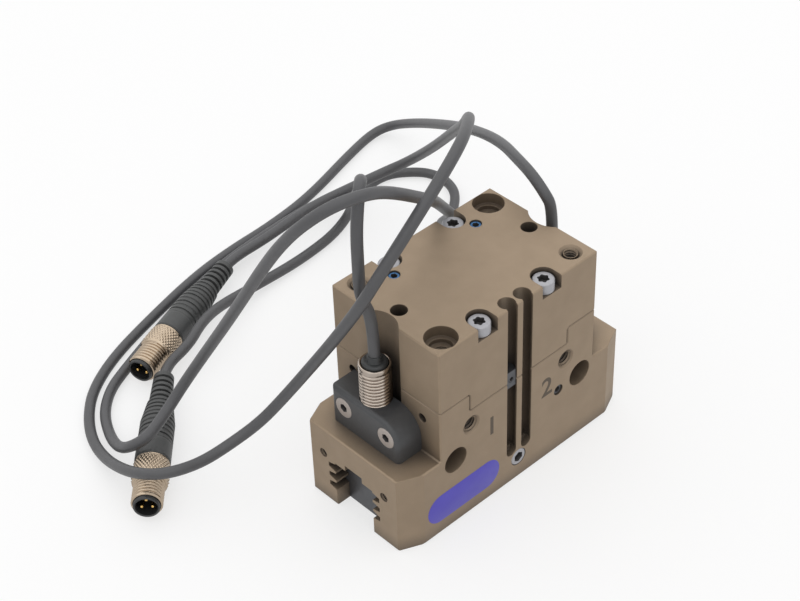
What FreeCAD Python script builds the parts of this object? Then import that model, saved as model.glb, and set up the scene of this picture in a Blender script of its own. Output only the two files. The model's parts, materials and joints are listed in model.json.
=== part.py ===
"""Pneumatic parallel gripper with two inductive sensors on pigtail leads.

Millimetres, +Z up. X is the jaw direction and -Y the front, which has the air ports. The origin is
the middle of the jaw-side face that the gripper stands on. At rest the springs hold the jaws closed.
"""
import FreeCAD, Part
import math
import os
import Sketcher
from types import SimpleNamespace

from FreeCAD import Placement, Rotation, Vector

SIZES = {
    # Housing and cover
    "body_depth": 36.0,
    "block_length": 53.0,
    "flange_length": 77.0,
    "total_height": 57.0,
    "flange_height": 23.3,
    "corner_cut_long": 6.4,
    "corner_cut_deep": 2.9,
    "parting_height": 38.7,
    "tongue_drop": 5.1,
    "tongue_length": 33.4,
    "edge_chamfer": 0.35,
    "fit_clearance": 0.05,
    # Jaw guide, with three tooth grooves on each side
    "throat_width": 13.2,
    "groove_reach": 2.4,
    "groove_pitch": 3.15,
    "groove_first": 6.4,
    "groove_mouth": 2.5,
    "groove_tip": 1.4,
    "guide_height": 14.4,
    "cam_slot_width": 6.0,
    "cam_slot_height": 1.7,
    "jaw_clearance": 0.12,
    "jaw_lift": 0.25,
    # Wedge hook and its travel
    "jaw_stroke": 4.0,
    "piston_stroke": 5.7,
    "hook_lift": 1.4,
    "hook_height": 13.3,
    "hook_top_width": 4.0,
    "hook_width": 10.0,
    "neck_width": 4.4,
    "neck_reach": 1.6,
    "head_width": 8.0,
    "head_reach": 1.8,
    "hook_clearance": 0.15,
    "rod_diameter": 7.0,
    "rod_clearance": 0.1,
    "travel_clearance": 0.4,
    # Cylinder, piston, springs and seals
    "web_thickness": 3.9,
    "bore_length": 26.8,
    "bore_side_wall": 7.5,
    "piston_clearance": 0.2,
    "piston_lift": 0.3,
    "roof_clearance": 2.0,
    "piston_height": 6.0,
    "rod_socket": 2.0,
    "seal_height": 2.0,
    "seal_depth": 1.6,
    "seal_lift": 0.7,
    "seal_clearance": 0.1,
    "bush_wall": 1.0,
    "bush_height": 2.3,
    "cover_seal_margin": 1.0,
    "cover_seal_width": 1.4,
    "cover_seal_height": 1.2,
    "spring_offset": 8.2,
    "spring_diameter": 7.8,
    "spring_wire": 1.2,
    "spring_pocket_gap": 0.3,
    "spring_seat_depth": 2.0,
    "cover_roof": 5.0,
    "magnet_diameter": 3.0,
    "magnet_height": 3.0,
    "magnet_setback": 3.5,
    "piston_screw_diameter": 4.0,
    "piston_screw_length": 12.0,
    "piston_screw_head": 7.0,
    "piston_screw_head_height": 2.6,
    # Jaws, their finger mounts and sensor cams
    "finger_hole_setback": 4.25,
    "finger_hole_pitch": 9.0,
    "finger_sleeve_diameter": 5.0,
    "finger_sleeve_depth": 1.5,
    "finger_thread_diameter": 2.5,
    "finger_thread_depth": 7.0,
    "cam_length": 13.0,
    "cam_setback": 1.5,
    "cam_screw_diameter": 2.0,
    "cam_screw_head": 3.6,
    "cam_screw_length": 5.0,
    "cam_screw_pitch": 8.0,
    # Bottom plate
    "plate_length": 23.0,
    "plate_width": 27.0,
    "plate_thickness": 0.9,
    "plate_screw_pitch_long": 16.0,
    "plate_screw_pitch_wide": 22.0,
    "plate_screw_diameter": 2.0,
    "plate_screw_head": 3.4,
    "plate_screw_length": 5.0,
    # Cover screws and dowels
    "cap_screw_pitch_long": 21.4,
    "cap_screw_edge": 2.9,
    "cap_screw_diameter": 3.0,
    "cap_head_diameter": 5.5,
    "cap_head_height": 3.0,
    "cap_head_sink": 0.9,
    "cap_socket_width": 2.9,
    "cap_pocket_gap": 0.45,
    "cap_screw_grip": 5.5,
    "dowel_diameter": 2.0,
    "dowel_length": 8.0,
    # Top and side mounting holes
    "corner_edge_long": 4.9,
    "corner_edge_deep": 4.3,
    "sleeve_diameter": 8.1,
    "sleeve_depth": 3.0,
    "step_diameter": 6.0,
    "step_depth": 1.2,
    "corner_thread_diameter": 3.4,
    "corner_thread_depth": 9.0,
    "corner_countersink": 5.8,
    "middle_edge": 4.8,
    "middle_diameter": 4.2,
    "middle_depth": 11.0,
    "side_pitch": 43.2,
    "side_height": 20.9,
    "side_diameter": 7.2,
    "side_depth": 4.5,
    "side_thread_depth": 5.0,
    "top_set_pitch": 27.3,
    "top_set_offset": 10.2,
    "set_screw_diameter": 3.0,
    "set_screw_length": 4.0,
    "set_screw_sink": 0.4,
    "set_socket_width": 1.5,
    "front_set_x": 14.0,
    "front_set_height": 20.1,
    # Air ports
    "port_pitch": 32.6,
    "port_height": 28.9,
    "port_diameter": 4.2,
    "port_depth": 8.0,
    "port_countersink": 5.4,
    "duct_diameter": 1.6,
    "purge_height": 6.8,
    "purge_diameter": 4.9,
    "purge_length": 6.0,
    "purge_socket_width": 2.5,
    # Magnetic switch slots in the front
    "slot_pitch": 5.1,
    "slot_mouth": 3.3,
    "slot_diameter": 4.4,
    "slot_axis_depth": 2.0,
    "slot_bottom": 10.6,
    "stop_height": 5.0,
    "stop_overlap": 1.8,
    "stop_clearance": 0.1,
    "stop_sink": 0.3,
    "stop_screw_diameter": 1.8,
    "stop_screw_length": 2.4,
    # End faces
    "end_hole_pitch": 21.4,
    "end_hole_height": 15.25,
    "end_hole_diameter": 2.5,
    "end_hole_depth": 6.0,
    "wall_hole_pitch": 24.0,
    "wall_hole_height": 34.0,
    "wall_hole_diameter": 2.5,
    "wall_hole_depth": 4.0,
    "notch_radius": 6.4,
    "notch_depth": 2.3,
    # Sensor brackets
    "bracket_depth": 7.6,
    "bracket_width": 23.0,
    "bracket_height": 11.0,
    "bracket_shoulder": 7.0,
    "bracket_round": 1.2,
    "bracket_screw_pitch": 14.6,
    "bracket_screw_height": 29.4,
    "bracket_screw_diameter": 3.0,
    "bracket_screw_head": 5.6,
    "bracket_screw_length": 12.0,
    "bracket_socket_width": 2.0,
    # Inductive sensors
    "sensor_diameter": 8.0,
    "sensor_reach": 29.2,
    "sensor_offset": 0.8,
    "sensor_top": 45.2,
    "sensor_gap": 1.0,
    "sensor_wall": 0.8,
    "sensor_bore_gap": 0.2,
    "tip_height": 2.5,
    "cap_depth": 5.0,
    "cap_rise": 0.8,
    "outlet_diameter": 3.6,
    "outlet_height": 1.6,
    # Leads and plugs
    "lead_diameter": 2.9,
    "lead_rise": 11.4,
    "lead_run_out": 4.2,
    "plug_insert_diameter": 6.8,
    "plug_insert_length": 7.5,
    "plug_cup_diameter": 5.6,
    "plug_cup_depth": 5.0,
    "pin_diameter": 1.0,
    "pin_length": 4.0,
    "pin_circle": 3.2,
    "ring_start": 1.1,
    "thread_diameter": 8.0,
    "thread_length": 6.9,
    "knurl_diameter": 9.6,
    "knurl_length": 7.0,
    "ring_clearance": 0.15,
    "grip_diameter": 9.2,
    "grip_length": 14.0,
    "grip_neck_diameter": 7.0,
    "grip_taper_length": 7.0,
    "relief_diameter": 6.2,
    "relief_end_diameter": 5.4,
    "relief_length": 11.0,
    "relief_groove": 0.9,
    "relief_pitch": 2.2,
}

GROOVES = 3
PINS = 3
RELIEF_GROOVES = 4
SPRING_TURNS = 6
LEFT = -1
RIGHT = 1
SIDES = {"left": LEFT, "right": RIGHT}

# Where the two plugs lie: the tip of the insert and a point on the axis towards the lead.
PLUG_TIPS = {"left": Vector(-75.37, 35.19, 5.0), "right": Vector(-46.21, 75.86, 5.0)}
PLUG_AIMS = {"left": Vector(-43.1, 69.3, 5.0), "right": Vector(-1.0, 93.9, 5.0)}

# The corners that each lead turns at between its straight runs out of the sensor and into the plug.
LEAD_ROUTES = {
    "left": [
        (-32, 1.5, 66), (-32.5, 1, 77), (-32, 1.5, 85), (-30.5, 2, 93.5), (-27, 5, 94.5), (-23.5, 9, 90.5),
        (-17.5, 16, 83), (-9.5, 25.5, 73), (0, 37, 61), (10.5, 49.5, 48), (21, 62.5, 34.5), (30.5, 74, 22),
        (37.5, 83, 12), (40.5, 90.5, 6), (39.5, 95, 5), (35, 98, 4), (26.5, 98, 4), (16.5, 97.5, 4),
        (4, 97.5, 3), (-8, 96, 2), (-20, 92.5, 1.5), (-33, 88, 1.5), (-46.5, 82.5, 1.5), (-54, 79, 1.5),
        (-60.5, 73, 1.5), (-65, 64.5, 2.5), (-68, 56, 6), (-68.5, 49.5, 11), (-65, 46.5, 14), (-58, 48.5, 15.5),
        (-51, 48.5, 21.5), (-47, 43, 33), (-46.5, 33.5, 48), (-47, 24.5, 62), (-47.5, 16.5, 74.5),
        (-47.5, 9.5, 85), (-46.5, 3, 93.5), (-42.5, -3, 100), (-34, -4.5, 99.5), (-25.5, -2.5, 94.5),
        (-8.5, 3.5, 80), (2, 12.5, 69), (11.5, 20.5, 58.5), (20, 23.5, 48), (31.5, 41, 31), (41, 52, 15),
        (49.5, 61, 4.5), (60, 67, 1.5), (68.5, 73, 1.5), (72, 78.5, 1.5), (72.5, 85, 1.5), (70, 90.5, 1.5),
        (61.5, 97, 1.5), (49.5, 95, 1.5), (35, 86.5, 1.5), (17.5, 84, 1.5), (-1, 83.5, 2.5), (-15.5, 80.5, 6),
        (-24.5, 76.5, 8), (-31.5, 73, 7),
    ],
    "right": [
        (28.5, 1.5, 63), (29.5, 7, 65.5), (33.5, 15.5, 63.5), (40.5, 27, 58.5), (49.5, 42.5, 49.5),
        (61, 62.5, 36), (71, 83, 22), (77.5, 99.5, 11), (79.5, 111.5, 3.5), (74.5, 115, 1.5), (62, 112, 1.5),
        (38.5, 104.5, 1.5), (21, 102, 1.5), (6, 101.5, 1.5), (-9.5, 99.5, 1.5), (-31, 93.5, 1.5),
        (-46, 88.5, 1.5), (-57.5, 82, 1.5), (-64.5, 74.5, 1.5), (-69, 66.5, 1.5), (-71.5, 57, 3.5),
        (-73.5, 45, 9.5), (-72.5, 36.5, 13.5), (-68, 32.5, 14), (-60, 31.5, 12.5), (-51.5, 31, 13),
        (-44.5, 27, 18.5), (-40, 22, 27.5), (-37.5, 14.5, 40), (-37, 5.5, 54), (-35.5, -2, 67),
        (-31.5, -5, 76), (-16, -5.5, 90), (-5.5, -3, 95), (2.5, 2, 94), (12, 10.5, 89), (20.5, 19.5, 80),
        (30, 30.5, 68), (40, 43.5, 55), (48.5, 56, 42), (54.5, 67.5, 30), (57.5, 77, 20.5), (57, 83.5, 14.5),
        (53.5, 87, 12), (41, 89, 11.5), (28.5, 92, 10), (13, 93, 7),
    ],
}
BEND_SHARE = 0.45

UP = Vector(0, 0, 1)
BACKWARD = Vector(0, 1, 0)
ALONG = Vector(1, 0, 0)

doc = FreeCAD.newDocument("parallel_gripper")
sheet = doc.addObject("Spreadsheet::Sheet", "sizes")
pieces = []


class Size:
    """An expression over the sheet's cells, together with its present value."""

    def __init__(self, text, value):
        self.text = text
        self.value = value

    def __add__(self, other):
        other = as_size(other)
        return Size(f"({self.text} + {other.text})", self.value + other.value)

    def __sub__(self, other):
        other = as_size(other)
        return Size(f"({self.text} - {other.text})", self.value - other.value)

    def __mul__(self, other):
        other = as_size(other)
        return Size(f"({self.text} * {other.text})", self.value * other.value)

    def __truediv__(self, other):
        other = as_size(other)
        return Size(f"({self.text} / {other.text})", self.value / other.value)

    def __neg__(self):
        return Size(f"(0 - {self.text})", -self.value)

    __rmul__ = __mul__

    def __radd__(self, other):
        return as_size(other) + self

    def __rsub__(self, other):
        return as_size(other) - self


def as_size(number):
    """Return a Size, made from a plain number where it isn't one already."""
    if isinstance(number, Size):
        return number
    return Size(str(number), float(number))


def fill_sheet():
    """Write each driving size into the sheet under its alias, and return them by name."""
    for row, (name, value) in enumerate(SIZES.items(), start=1):
        sheet.set(f"A{row}", name.replace("_", " "))
        sheet.set(f"B{row}", str(value))
        sheet.setAlias(f"B{row}", name)
    doc.recompute()
    return SimpleNamespace(**{name: Size(f"sizes.{name}", value) for name, value in SIZES.items()})


def bind(item, prop, size):
    """Tie a property to a size."""
    item.setExpression(prop, as_size(size).text)


def place(item, at, axis=UP):
    """Put a primitive at a point, with its own +Z along an axis."""
    item.Placement = Placement(Vector(), Rotation(UP, axis))
    for key, size in zip("xyz", at):
        bind(item, f"Placement.Base.{key}", size)
    return item


def box(name, low, extent):
    """A block from its lowest corner and its three lengths."""
    item = doc.addObject("Part::Box", name)
    for prop, size in zip(("Length", "Width", "Height"), extent):
        bind(item, prop, size)
    return place(item, low)


def cylinder(name, diameter, height, at, axis=UP):
    """A round bar that starts at a point and runs along an axis."""
    item = doc.addObject("Part::Cylinder", name)
    bind(item, "Radius", diameter / 2)
    bind(item, "Height", height)
    return place(item, at, axis)


def cone(name, first, last, height, at, axis=UP):
    """A tapered bar with a first and a last diameter."""
    item = doc.addObject("Part::Cone", name)
    bind(item, "Radius1", first / 2)
    bind(item, "Radius2", last / 2)
    bind(item, "Height", height)
    return place(item, at, axis)


def socket(name, width, depth, at, axis=UP):
    """A hexagon socket of a width across flats."""
    item = doc.addObject("Part::Prism", name)
    item.Polygon = 6
    bind(item, "Circumradius", width / as_size(round(math.sqrt(3), 6)))
    bind(item, "Height", depth)
    return place(item, at, axis)


def fuse(name, items):
    """Join several solids into one."""
    item = doc.addObject("Part::MultiFuse", name)
    item.Shapes = items
    item.Refine = True
    return item


def cut(name, base, tools):
    """Take tools away from a base."""
    item = doc.addObject("Part::Cut", name)
    item.Base = base
    item.Tool = tools[0] if len(tools) == 1 else fuse(f"{name}_cuts", tools)
    item.Refine = True
    return item


def group(name, items):
    """Keep several separate solids together as one piece."""
    item = doc.addObject("Part::Compound", name)
    item.Links = items
    return item


def finish(name, item):
    """Give a finished piece its label, which names its file."""
    item.Label = name
    pieces.append(item)
    return item


def sketch(body, name, role, lift):
    """A sketch on one of its body's origin planes, lifted along the plane's normal."""
    item = body.newObject("Sketcher::SketchObject", name)
    plane = next(feature for feature in body.Origin.OriginFeatures if feature.Role == role)
    item.AttachmentSupport = [(plane, "")]
    item.MapMode = "FlatFace"
    bind(item, "AttachmentOffset.Base.z", lift)
    return item


def outline(item, points):
    """Draw a closed polygon whose corners are pinned to the origin by bound distances."""
    corners = [(as_size(u), as_size(v)) for u, v in points]
    vectors = [Vector(u.value, v.value, 0) for u, v in corners]
    for start, end in zip(vectors, vectors[1:] + vectors[:1]):
        item.addGeometry(Part.LineSegment(start, end))
    for index in range(len(vectors)):
        item.addConstraint(Sketcher.Constraint("Coincident", index, 2, (index + 1) % len(vectors), 1))
    for index, pair in enumerate(corners):
        for kind, size, axis in zip(("DistanceX", "DistanceY"), pair, (-2, -1)):
            if size.text == "0":
                item.addConstraint(Sketcher.Constraint("PointOnObject", index, 1, axis))
            else:
                pin = item.addConstraint(Sketcher.Constraint(kind, -1, 1, index, 1, size.value))
                item.setExpression(f"Constraints[{pin}]", size.text)


def prism(name, role, points, start, length):
    """A polygon in an origin plane, padded from a start along the plane's positive axis."""
    body = doc.addObject("PartDesign::Body", name)
    towards_back = role == "XZ_Plane"
    profile = sketch(body, f"{name}_sketch", role, -start if towards_back else start)
    outline(profile, points)
    pad = body.newObject("PartDesign::Pad", f"{name}_pad")
    pad.Profile = profile
    pad.Reversed = towards_back
    bind(pad, "Length", length)
    return body


def chamfer(body, size, wanted):
    """Chamfer the edges of a body's tip that a test picks out."""
    doc.recompute()
    base = body.Tip
    names = [f"Edge{index}" for index, edge in enumerate(base.Shape.Edges, start=1) if wanted(edge)]
    item = body.newObject("PartDesign::Chamfer", f"{body.Name}_chamfer")
    item.Base = (base, names)
    bind(item, "Size", size)
    return body


def fillet(body, tag, size, wanted):
    """Round the edges of a body's tip that a test picks out."""
    doc.recompute()
    base = body.Tip
    names = [f"Edge{index}" for index, edge in enumerate(base.Shape.Edges, start=1) if wanted(edge)]
    item = body.newObject("PartDesign::Fillet", f"{body.Name}_{tag}")
    item.Base = (base, names)
    bind(item, "Radius", size)
    return body


def turned(name, points):
    """A turned piece from half its section, as (radius, height) corners, about its own Z axis."""
    body = doc.addObject("PartDesign::Body", name)
    profile = sketch(body, f"{name}_sketch", "XZ_Plane", 0)
    outline(profile, points)
    turn = body.newObject("PartDesign::Revolution", f"{name}_turn")
    turn.Profile = profile
    turn.ReferenceAxis = (profile, ["V_Axis"])
    turn.Angle = 360.0
    return body


def racetrack(name, length, depth, low, height):
    """An upright solid with straight sides and half-round ends, longest along X."""
    straight = length - depth
    bar = box(f"{name}_bar", (-straight / 2, -depth / 2, low), (straight, depth, height))
    ends = [
        cylinder(f"{name}_{side}", depth, height, (sign * straight / 2, as_size(0), low))
        for side, sign in SIDES.items()
    ]
    return fuse(name, [bar, *ends])


def frame_ring(name, length, depth, width, low, height):
    """A racetrack ring of a section width, given its outer length and depth."""
    outer = racetrack(f"{name}_outer", length, depth, low, height)
    inner = racetrack(f"{name}_inner", length - 2 * width, depth - 2 * width, low, height)
    return cut(name, outer, [inner])


def four_ways(pitch_x, pitch_y):
    """The four corners of a rectangle about the middle, as tag, x and y."""
    return [
        (f"{side}_{end}", sign * pitch_x / 2, turn * pitch_y / 2)
        for side, sign in SIDES.items()
        for end, turn in (("front", -1), ("back", 1))
    ]


def on_outer_face(edge, depth):
    """True for an edge that lies in the front or the back face."""
    return all(abs(abs(vertex.Point.y) - depth.value / 2) < 1e-6 for vertex in edge.Vertexes)


def guide_profile(gap, bottom):
    """The jaw guide's section as (y, z) corners, shrunk all round by a gap."""
    throat = dims.throat_width / 2 - gap
    reach = dims.throat_width / 2 + dims.groove_reach - gap
    side = [(throat, bottom)]
    for step in range(GROOVES):
        middle = dims.groove_first + step * dims.groove_pitch
        mouth = dims.groove_mouth / 2 - gap
        tip = dims.groove_tip / 2 - gap
        side += [(throat, middle - mouth), (reach, middle - tip)]
        side += [(reach, middle + tip), (throat, middle + mouth)]
    side.append((throat, dims.guide_height - gap))
    return side + [(-y, z) for y, z in reversed(side)]


def hook_half_width(height):
    """Half the wedge's width along X at a height, at rest: it narrows upwards by the travel's slope."""
    top = dims.hook_lift + dims.hook_height
    return dims.hook_top_width / 2 + (top - height) * dims.jaw_stroke / dims.piston_stroke


def hook_band(side, low, high, inner, outer):
    """A slanting band beside the wedge, between two offsets from its flank, as (x, z) corners."""
    return [
        (side * (hook_half_width(low) + inner), low),
        (side * (hook_half_width(low) + outer), low),
        (side * (hook_half_width(high) + outer), high),
        (side * (hook_half_width(high) + inner), high),
    ]


def cap_screw(name, head, head_height, shank, length, hole, at, axis):
    """A screw with a round head and a hexagon socket, its head's seat at a point."""
    bar = cylinder(f"{name}_shank", shank, length, at, -axis)
    top = cylinder(f"{name}_head", head, head_height, at, axis)
    reach = tuple(start + head_height * part for start, part in zip(at, axis))
    key = socket(f"{name}_key", hole, head_height / 2, reach, -axis)
    return cut(name, fuse(f"{name}_blank", [bar, top]), [key])


def set_screw(name, diameter, length, hole, at, axis):
    """A headless screw whose socket end is at a point and which runs along an axis."""
    bar = cylinder(f"{name}_bar", diameter, length, at, axis)
    key = socket(f"{name}_key", hole, length / 2, at, axis)
    return cut(name, bar, [key])


def flat_screw(name, head, shank, length, hole, at, axis):
    """A countersunk screw whose flat top is at a point and which runs along an axis."""
    rise = (head - shank) / 2
    taper = cone(f"{name}_head", head, shank, rise, at, axis)
    bar = cylinder(f"{name}_shank", shank, length, at, axis)
    key = socket(f"{name}_key", hole, rise, at, axis)
    return cut(name, fuse(f"{name}_blank", [taper, bar]), [key])


def flat_seat(name, head, shank, length, gap, at, axis):
    """The countersunk hole that takes a flat screw."""
    rise = (head - shank) / 2
    taper = cone(f"{name}_taper", head + 2 * gap, shank + 2 * gap, rise, at, axis)
    bar = cylinder(f"{name}_bar", shank + 2 * gap, length + gap, at, axis)
    return fuse(name, [taper, bar])


def threaded_hole(name, core, depth, mouth, at, axis):
    """A blind tapped hole with a countersunk mouth."""
    drill = cylinder(f"{name}_drill", core, depth, at, axis)
    rim = cone(f"{name}_rim", mouth, core, (mouth - core) / 2, at, axis)
    return fuse(name, [drill, rim])


def locate():
    """Work out the levels and centres that several pieces share."""
    hook_top = dims.hook_lift + dims.hook_height
    pocket_top = hook_top + dims.piston_stroke + dims.travel_clearance
    floor = pocket_top + dims.web_thickness
    piston_low = floor + dims.piston_lift
    piston_top = piston_low + dims.piston_height
    parting_low = dims.parting_height - dims.tongue_drop
    cap_seat = dims.total_height - dims.cap_head_sink - dims.cap_head_height
    bore_depth = dims.body_depth - 2 * dims.bore_side_wall
    return SimpleNamespace(
        hook_top=hook_top,
        pocket_top=pocket_top,
        floor=floor,
        piston_low=piston_low,
        piston_top=piston_top,
        chamber_roof=piston_top + dims.piston_stroke + dims.roof_clearance,
        spring_roof=dims.total_height - dims.cover_roof,
        parting_low=parting_low,
        front=-dims.body_depth / 2,
        block_end=dims.block_length / 2,
        flange_end=dims.flange_length / 2,
        cap_seat=cap_seat,
        cap_screw_length=cap_seat - parting_low + dims.cap_screw_grip,
        cap_screw_pitch_deep=dims.body_depth - 2 * dims.cap_screw_edge,
        corner_pitch_long=dims.block_length - 2 * dims.corner_edge_long,
        corner_pitch_deep=dims.body_depth - 2 * dims.corner_edge_deep,
        middle_pitch=dims.block_length - 2 * dims.middle_edge,
        bore_depth=bore_depth,
        magnet_offset=bore_depth / 2 - dims.magnet_setback,
        stop_level=parting_low - dims.stop_overlap,
        bracket_top=dims.flange_height + dims.bracket_height,
        bracket_face=dims.block_length / 2 + dims.bracket_depth,
        sensor_low=dims.guide_height + dims.cam_slot_height + dims.sensor_gap,
        slot_axis=-dims.body_depth / 2 + dims.slot_axis_depth,
        jaw_end=dims.flange_length / 2 - dims.jaw_stroke,
    )


def slot_tools(name, top):
    """The two undercut slots in the front, open at the top and rounded at the lower end."""
    tools = []
    for side, sign in SIDES.items():
        middle = sign * dims.slot_pitch / 2
        tag = f"{name}_{side}"
        tools.append(cylinder(f"{tag}_round", dims.slot_diameter, top - dims.slot_bottom,
                              (middle, at.slot_axis, dims.slot_bottom)))
        tools.append(box(f"{tag}_mouth", (middle - dims.slot_mouth / 2, at.front, dims.slot_bottom),
                         (dims.slot_mouth, dims.slot_axis_depth, top - dims.slot_bottom)))
        tools.append(cylinder(f"{tag}_end", dims.slot_mouth, dims.slot_axis_depth,
                              (middle, at.front, dims.slot_bottom), BACKWARD))
    return tools


def notch_tools(name, low, high):
    """The round notches in both end faces that the sensors stand in."""
    middle = at.block_end - dims.notch_depth + dims.notch_radius
    return [
        cylinder(f"{name}_{side}", 2 * dims.notch_radius, high - low, (sign * middle, as_size(0), low))
        for side, sign in SIDES.items()
    ]


def cap_screw_holes(name, low, high):
    """Clearance holes for the four cover screws between two levels."""
    return [
        cylinder(f"{name}_{tag}", dims.cap_screw_diameter + 2 * dims.fit_clearance, high - low, (x, y, low))
        for tag, x, y in four_ways(dims.cap_screw_pitch_long, at.cap_screw_pitch_deep)
    ]


def dowel_spots():
    """The two corners that hold the dowels, below the plain threaded corner holes."""
    return [
        (side, sign * at.corner_pitch_long / 2, -sign * at.corner_pitch_deep / 2)
        for side, sign in SIDES.items()
    ]


def dowel_holes(name):
    """Holes for both dowels across the parting plane."""
    low = dims.parting_height - dims.dowel_length / 2
    return [
        cylinder(f"{name}_{side}", dims.dowel_diameter + 2 * dims.fit_clearance, dims.dowel_length,
                 (x, y, low))
        for side, x, y in dowel_spots()
    ]


def plate_screw_spots():
    """The four screws of the bottom plate."""
    return four_ways(dims.plate_screw_pitch_long, dims.plate_screw_pitch_wide)


def build_housing():
    """The flanged lower body: jaw guide, hook pocket, cylinder, ports and mounting holes."""
    low = at.parting_low
    high = dims.parting_height
    step = dims.tongue_length / 2
    half = [(at.flange_end, as_size(0)), (at.flange_end, dims.flange_height),
            (at.block_end, dims.flange_height), (at.block_end, high), (step, high), (step, low)]
    profile = half + [(-x, z) for x, z in reversed(half)]
    block = prism("housing_block", "XZ_Plane", profile, at.front, dims.body_depth)
    chamfer(block, dims.edge_chamfer, lambda edge: on_outer_face(edge, dims.body_depth))

    tools = []
    for tag, x, y in four_ways(dims.flange_length, dims.body_depth):
        long_way = dims.corner_cut_long if x.value < 0 else -dims.corner_cut_long
        deep_way = dims.corner_cut_deep if y.value < 0 else -dims.corner_cut_deep
        corner = [(x - long_way, y), (x + long_way, y), (x, y + deep_way), (x - long_way, y + deep_way)]
        tools.append(prism(f"flange_corner_{tag}", "XY_Plane", corner, as_size(0), dims.flange_height))

    guide = guide_profile(as_size(0), as_size(0))
    tools.append(prism("guide_cut", "YZ_Plane", guide, -at.flange_end, dims.flange_length))
    slot_top = dims.guide_height + dims.cam_slot_height
    tools.append(box("cam_slot_cut", (-at.flange_end, -dims.cam_slot_width / 2, dims.groove_first),
                     (dims.flange_length, dims.cam_slot_width, slot_top - dims.groove_first)))
    reach = (hook_half_width(dims.guide_height - dims.piston_stroke) + dims.neck_reach
             + dims.head_reach + dims.travel_clearance)
    pocket_width = dims.hook_width + 2 * dims.travel_clearance
    tools.append(box("hook_pocket_cut", (-reach, -pocket_width / 2, dims.groove_first),
                     (2 * reach, pocket_width, at.pocket_top - dims.groove_first)))
    bush = dims.rod_diameter + 2 * dims.rod_clearance + 2 * dims.bush_wall + 2 * dims.fit_clearance
    tools.append(cylinder("bush_bore", bush, dims.web_thickness, (0, 0, at.pocket_top)))
    tools.append(racetrack("cylinder_bore", dims.bore_length, at.bore_depth, at.floor, low - at.floor))
    margin = 2 * (dims.cover_seal_margin + dims.cover_seal_width)
    tools.append(frame_ring("cover_seal_groove", dims.bore_length + margin, at.bore_depth + margin,
                            dims.cover_seal_width, low - dims.cover_seal_height, dims.cover_seal_height))
    tools.append(box("plate_recess", (-dims.plate_length / 2 - dims.fit_clearance,
                                      -dims.plate_width / 2 - dims.fit_clearance, as_size(0)),
                     (dims.plate_length + 2 * dims.fit_clearance, dims.plate_width + 2 * dims.fit_clearance,
                      dims.plate_thickness)))
    for tag, x, y in plate_screw_spots():
        tools.append(cylinder(f"plate_tap_{tag}", dims.plate_screw_diameter + 2 * dims.fit_clearance,
                              dims.plate_screw_length + dims.fit_clearance, (x, y, as_size(0))))

    seat = at.cap_seat - at.cap_screw_length - dims.travel_clearance
    tools += cap_screw_holes("housing_tap", seat, low)
    tools += dowel_holes("housing_dowel")
    tools += slot_tools("housing_slot", high)
    tools += notch_tools("housing_notch", dims.flange_height, high)
    for side, sign in SIDES.items():
        spot = (sign * dims.port_pitch / 2, at.front, dims.port_height)
        tools.append(threaded_hole(f"port_{side}", dims.port_diameter, dims.port_depth, dims.port_countersink,
                                   spot, BACKWARD))
    tools += duct_tools()
    for face, sign, axis in (("front", -1, BACKWARD), ("back", 1, -BACKWARD)):
        for side, turn in SIDES.items():
            spot = (turn * dims.side_pitch / 2, sign * dims.body_depth / 2, dims.side_height)
            tools.append(cylinder(f"side_sleeve_{face}_{side}", dims.side_diameter, dims.side_depth, spot, axis))
            tools.append(cylinder(f"side_thread_{face}_{side}", dims.corner_thread_diameter,
                                  dims.side_depth + dims.side_thread_depth, spot, axis))
    tools.append(cylinder("front_set_hole", dims.set_screw_diameter + 2 * dims.fit_clearance,
                          dims.set_screw_sink + dims.set_screw_length + dims.fit_clearance,
                          (dims.front_set_x, at.front, dims.front_set_height), BACKWARD))
    tools.append(cylinder("purge_hole", dims.purge_diameter + 2 * dims.fit_clearance,
                          dims.body_depth / 2 - dims.throat_width / 2, (0, at.front, dims.purge_height),
                          BACKWARD))
    for side, sign in SIDES.items():
        inward = -sign * ALONG
        for end, turn in (("front", -1), ("back", 1)):
            tools.append(cylinder(f"end_hole_{side}_{end}", dims.end_hole_diameter, dims.end_hole_depth,
                                  (sign * at.flange_end, turn * dims.end_hole_pitch / 2,
                                   dims.end_hole_height), inward))
            tools.append(cylinder(f"wall_hole_{side}_{end}", dims.wall_hole_diameter, dims.wall_hole_depth,
                                  (sign * at.block_end, turn * dims.wall_hole_pitch / 2,
                                   dims.wall_hole_height), inward))
            tools.append(cylinder(f"bracket_tap_{side}_{end}",
                                  dims.bracket_screw_diameter + 2 * dims.fit_clearance,
                                  dims.bracket_screw_length - dims.bracket_depth + dims.travel_clearance,
                                  (sign * at.block_end, turn * dims.bracket_screw_pitch / 2,
                                   dims.bracket_screw_height), inward))
        tools.append(cylinder(f"sensor_bore_{side}", dims.sensor_diameter + 2 * dims.sensor_bore_gap,
                              dims.flange_height - dims.guide_height,
                              (sign * dims.sensor_reach, -sign * dims.sensor_offset, dims.guide_height)))
    finish("housing", cut("housing", block, tools))


def duct_tools():
    """The ducts from the ports to the cylinder: one drops to below the piston, one runs in above it."""
    tools = []
    heights = {"left": at.floor + dims.duct_diameter / 2, "right": dims.port_height}
    depth = dims.body_depth / 2 - dims.port_depth
    for side, sign in SIDES.items():
        x = sign * dims.port_pitch / 2
        back = at.front + dims.port_depth - dims.duct_diameter / 2
        drop = dims.port_height - heights[side]
        tools.append(cylinder(f"duct_drop_{side}", dims.duct_diameter, drop + dims.duct_diameter / 2,
                              (x, back, heights[side] - dims.duct_diameter / 2)))
        start = x if sign < 0 else sign * dims.bore_length / 4
        tools.append(cylinder(f"duct_in_{side}", dims.duct_diameter, dims.port_pitch / 2 - dims.bore_length / 4,
                              (start, -depth + dims.duct_diameter, heights[side]), ALONG))
    return tools


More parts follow.
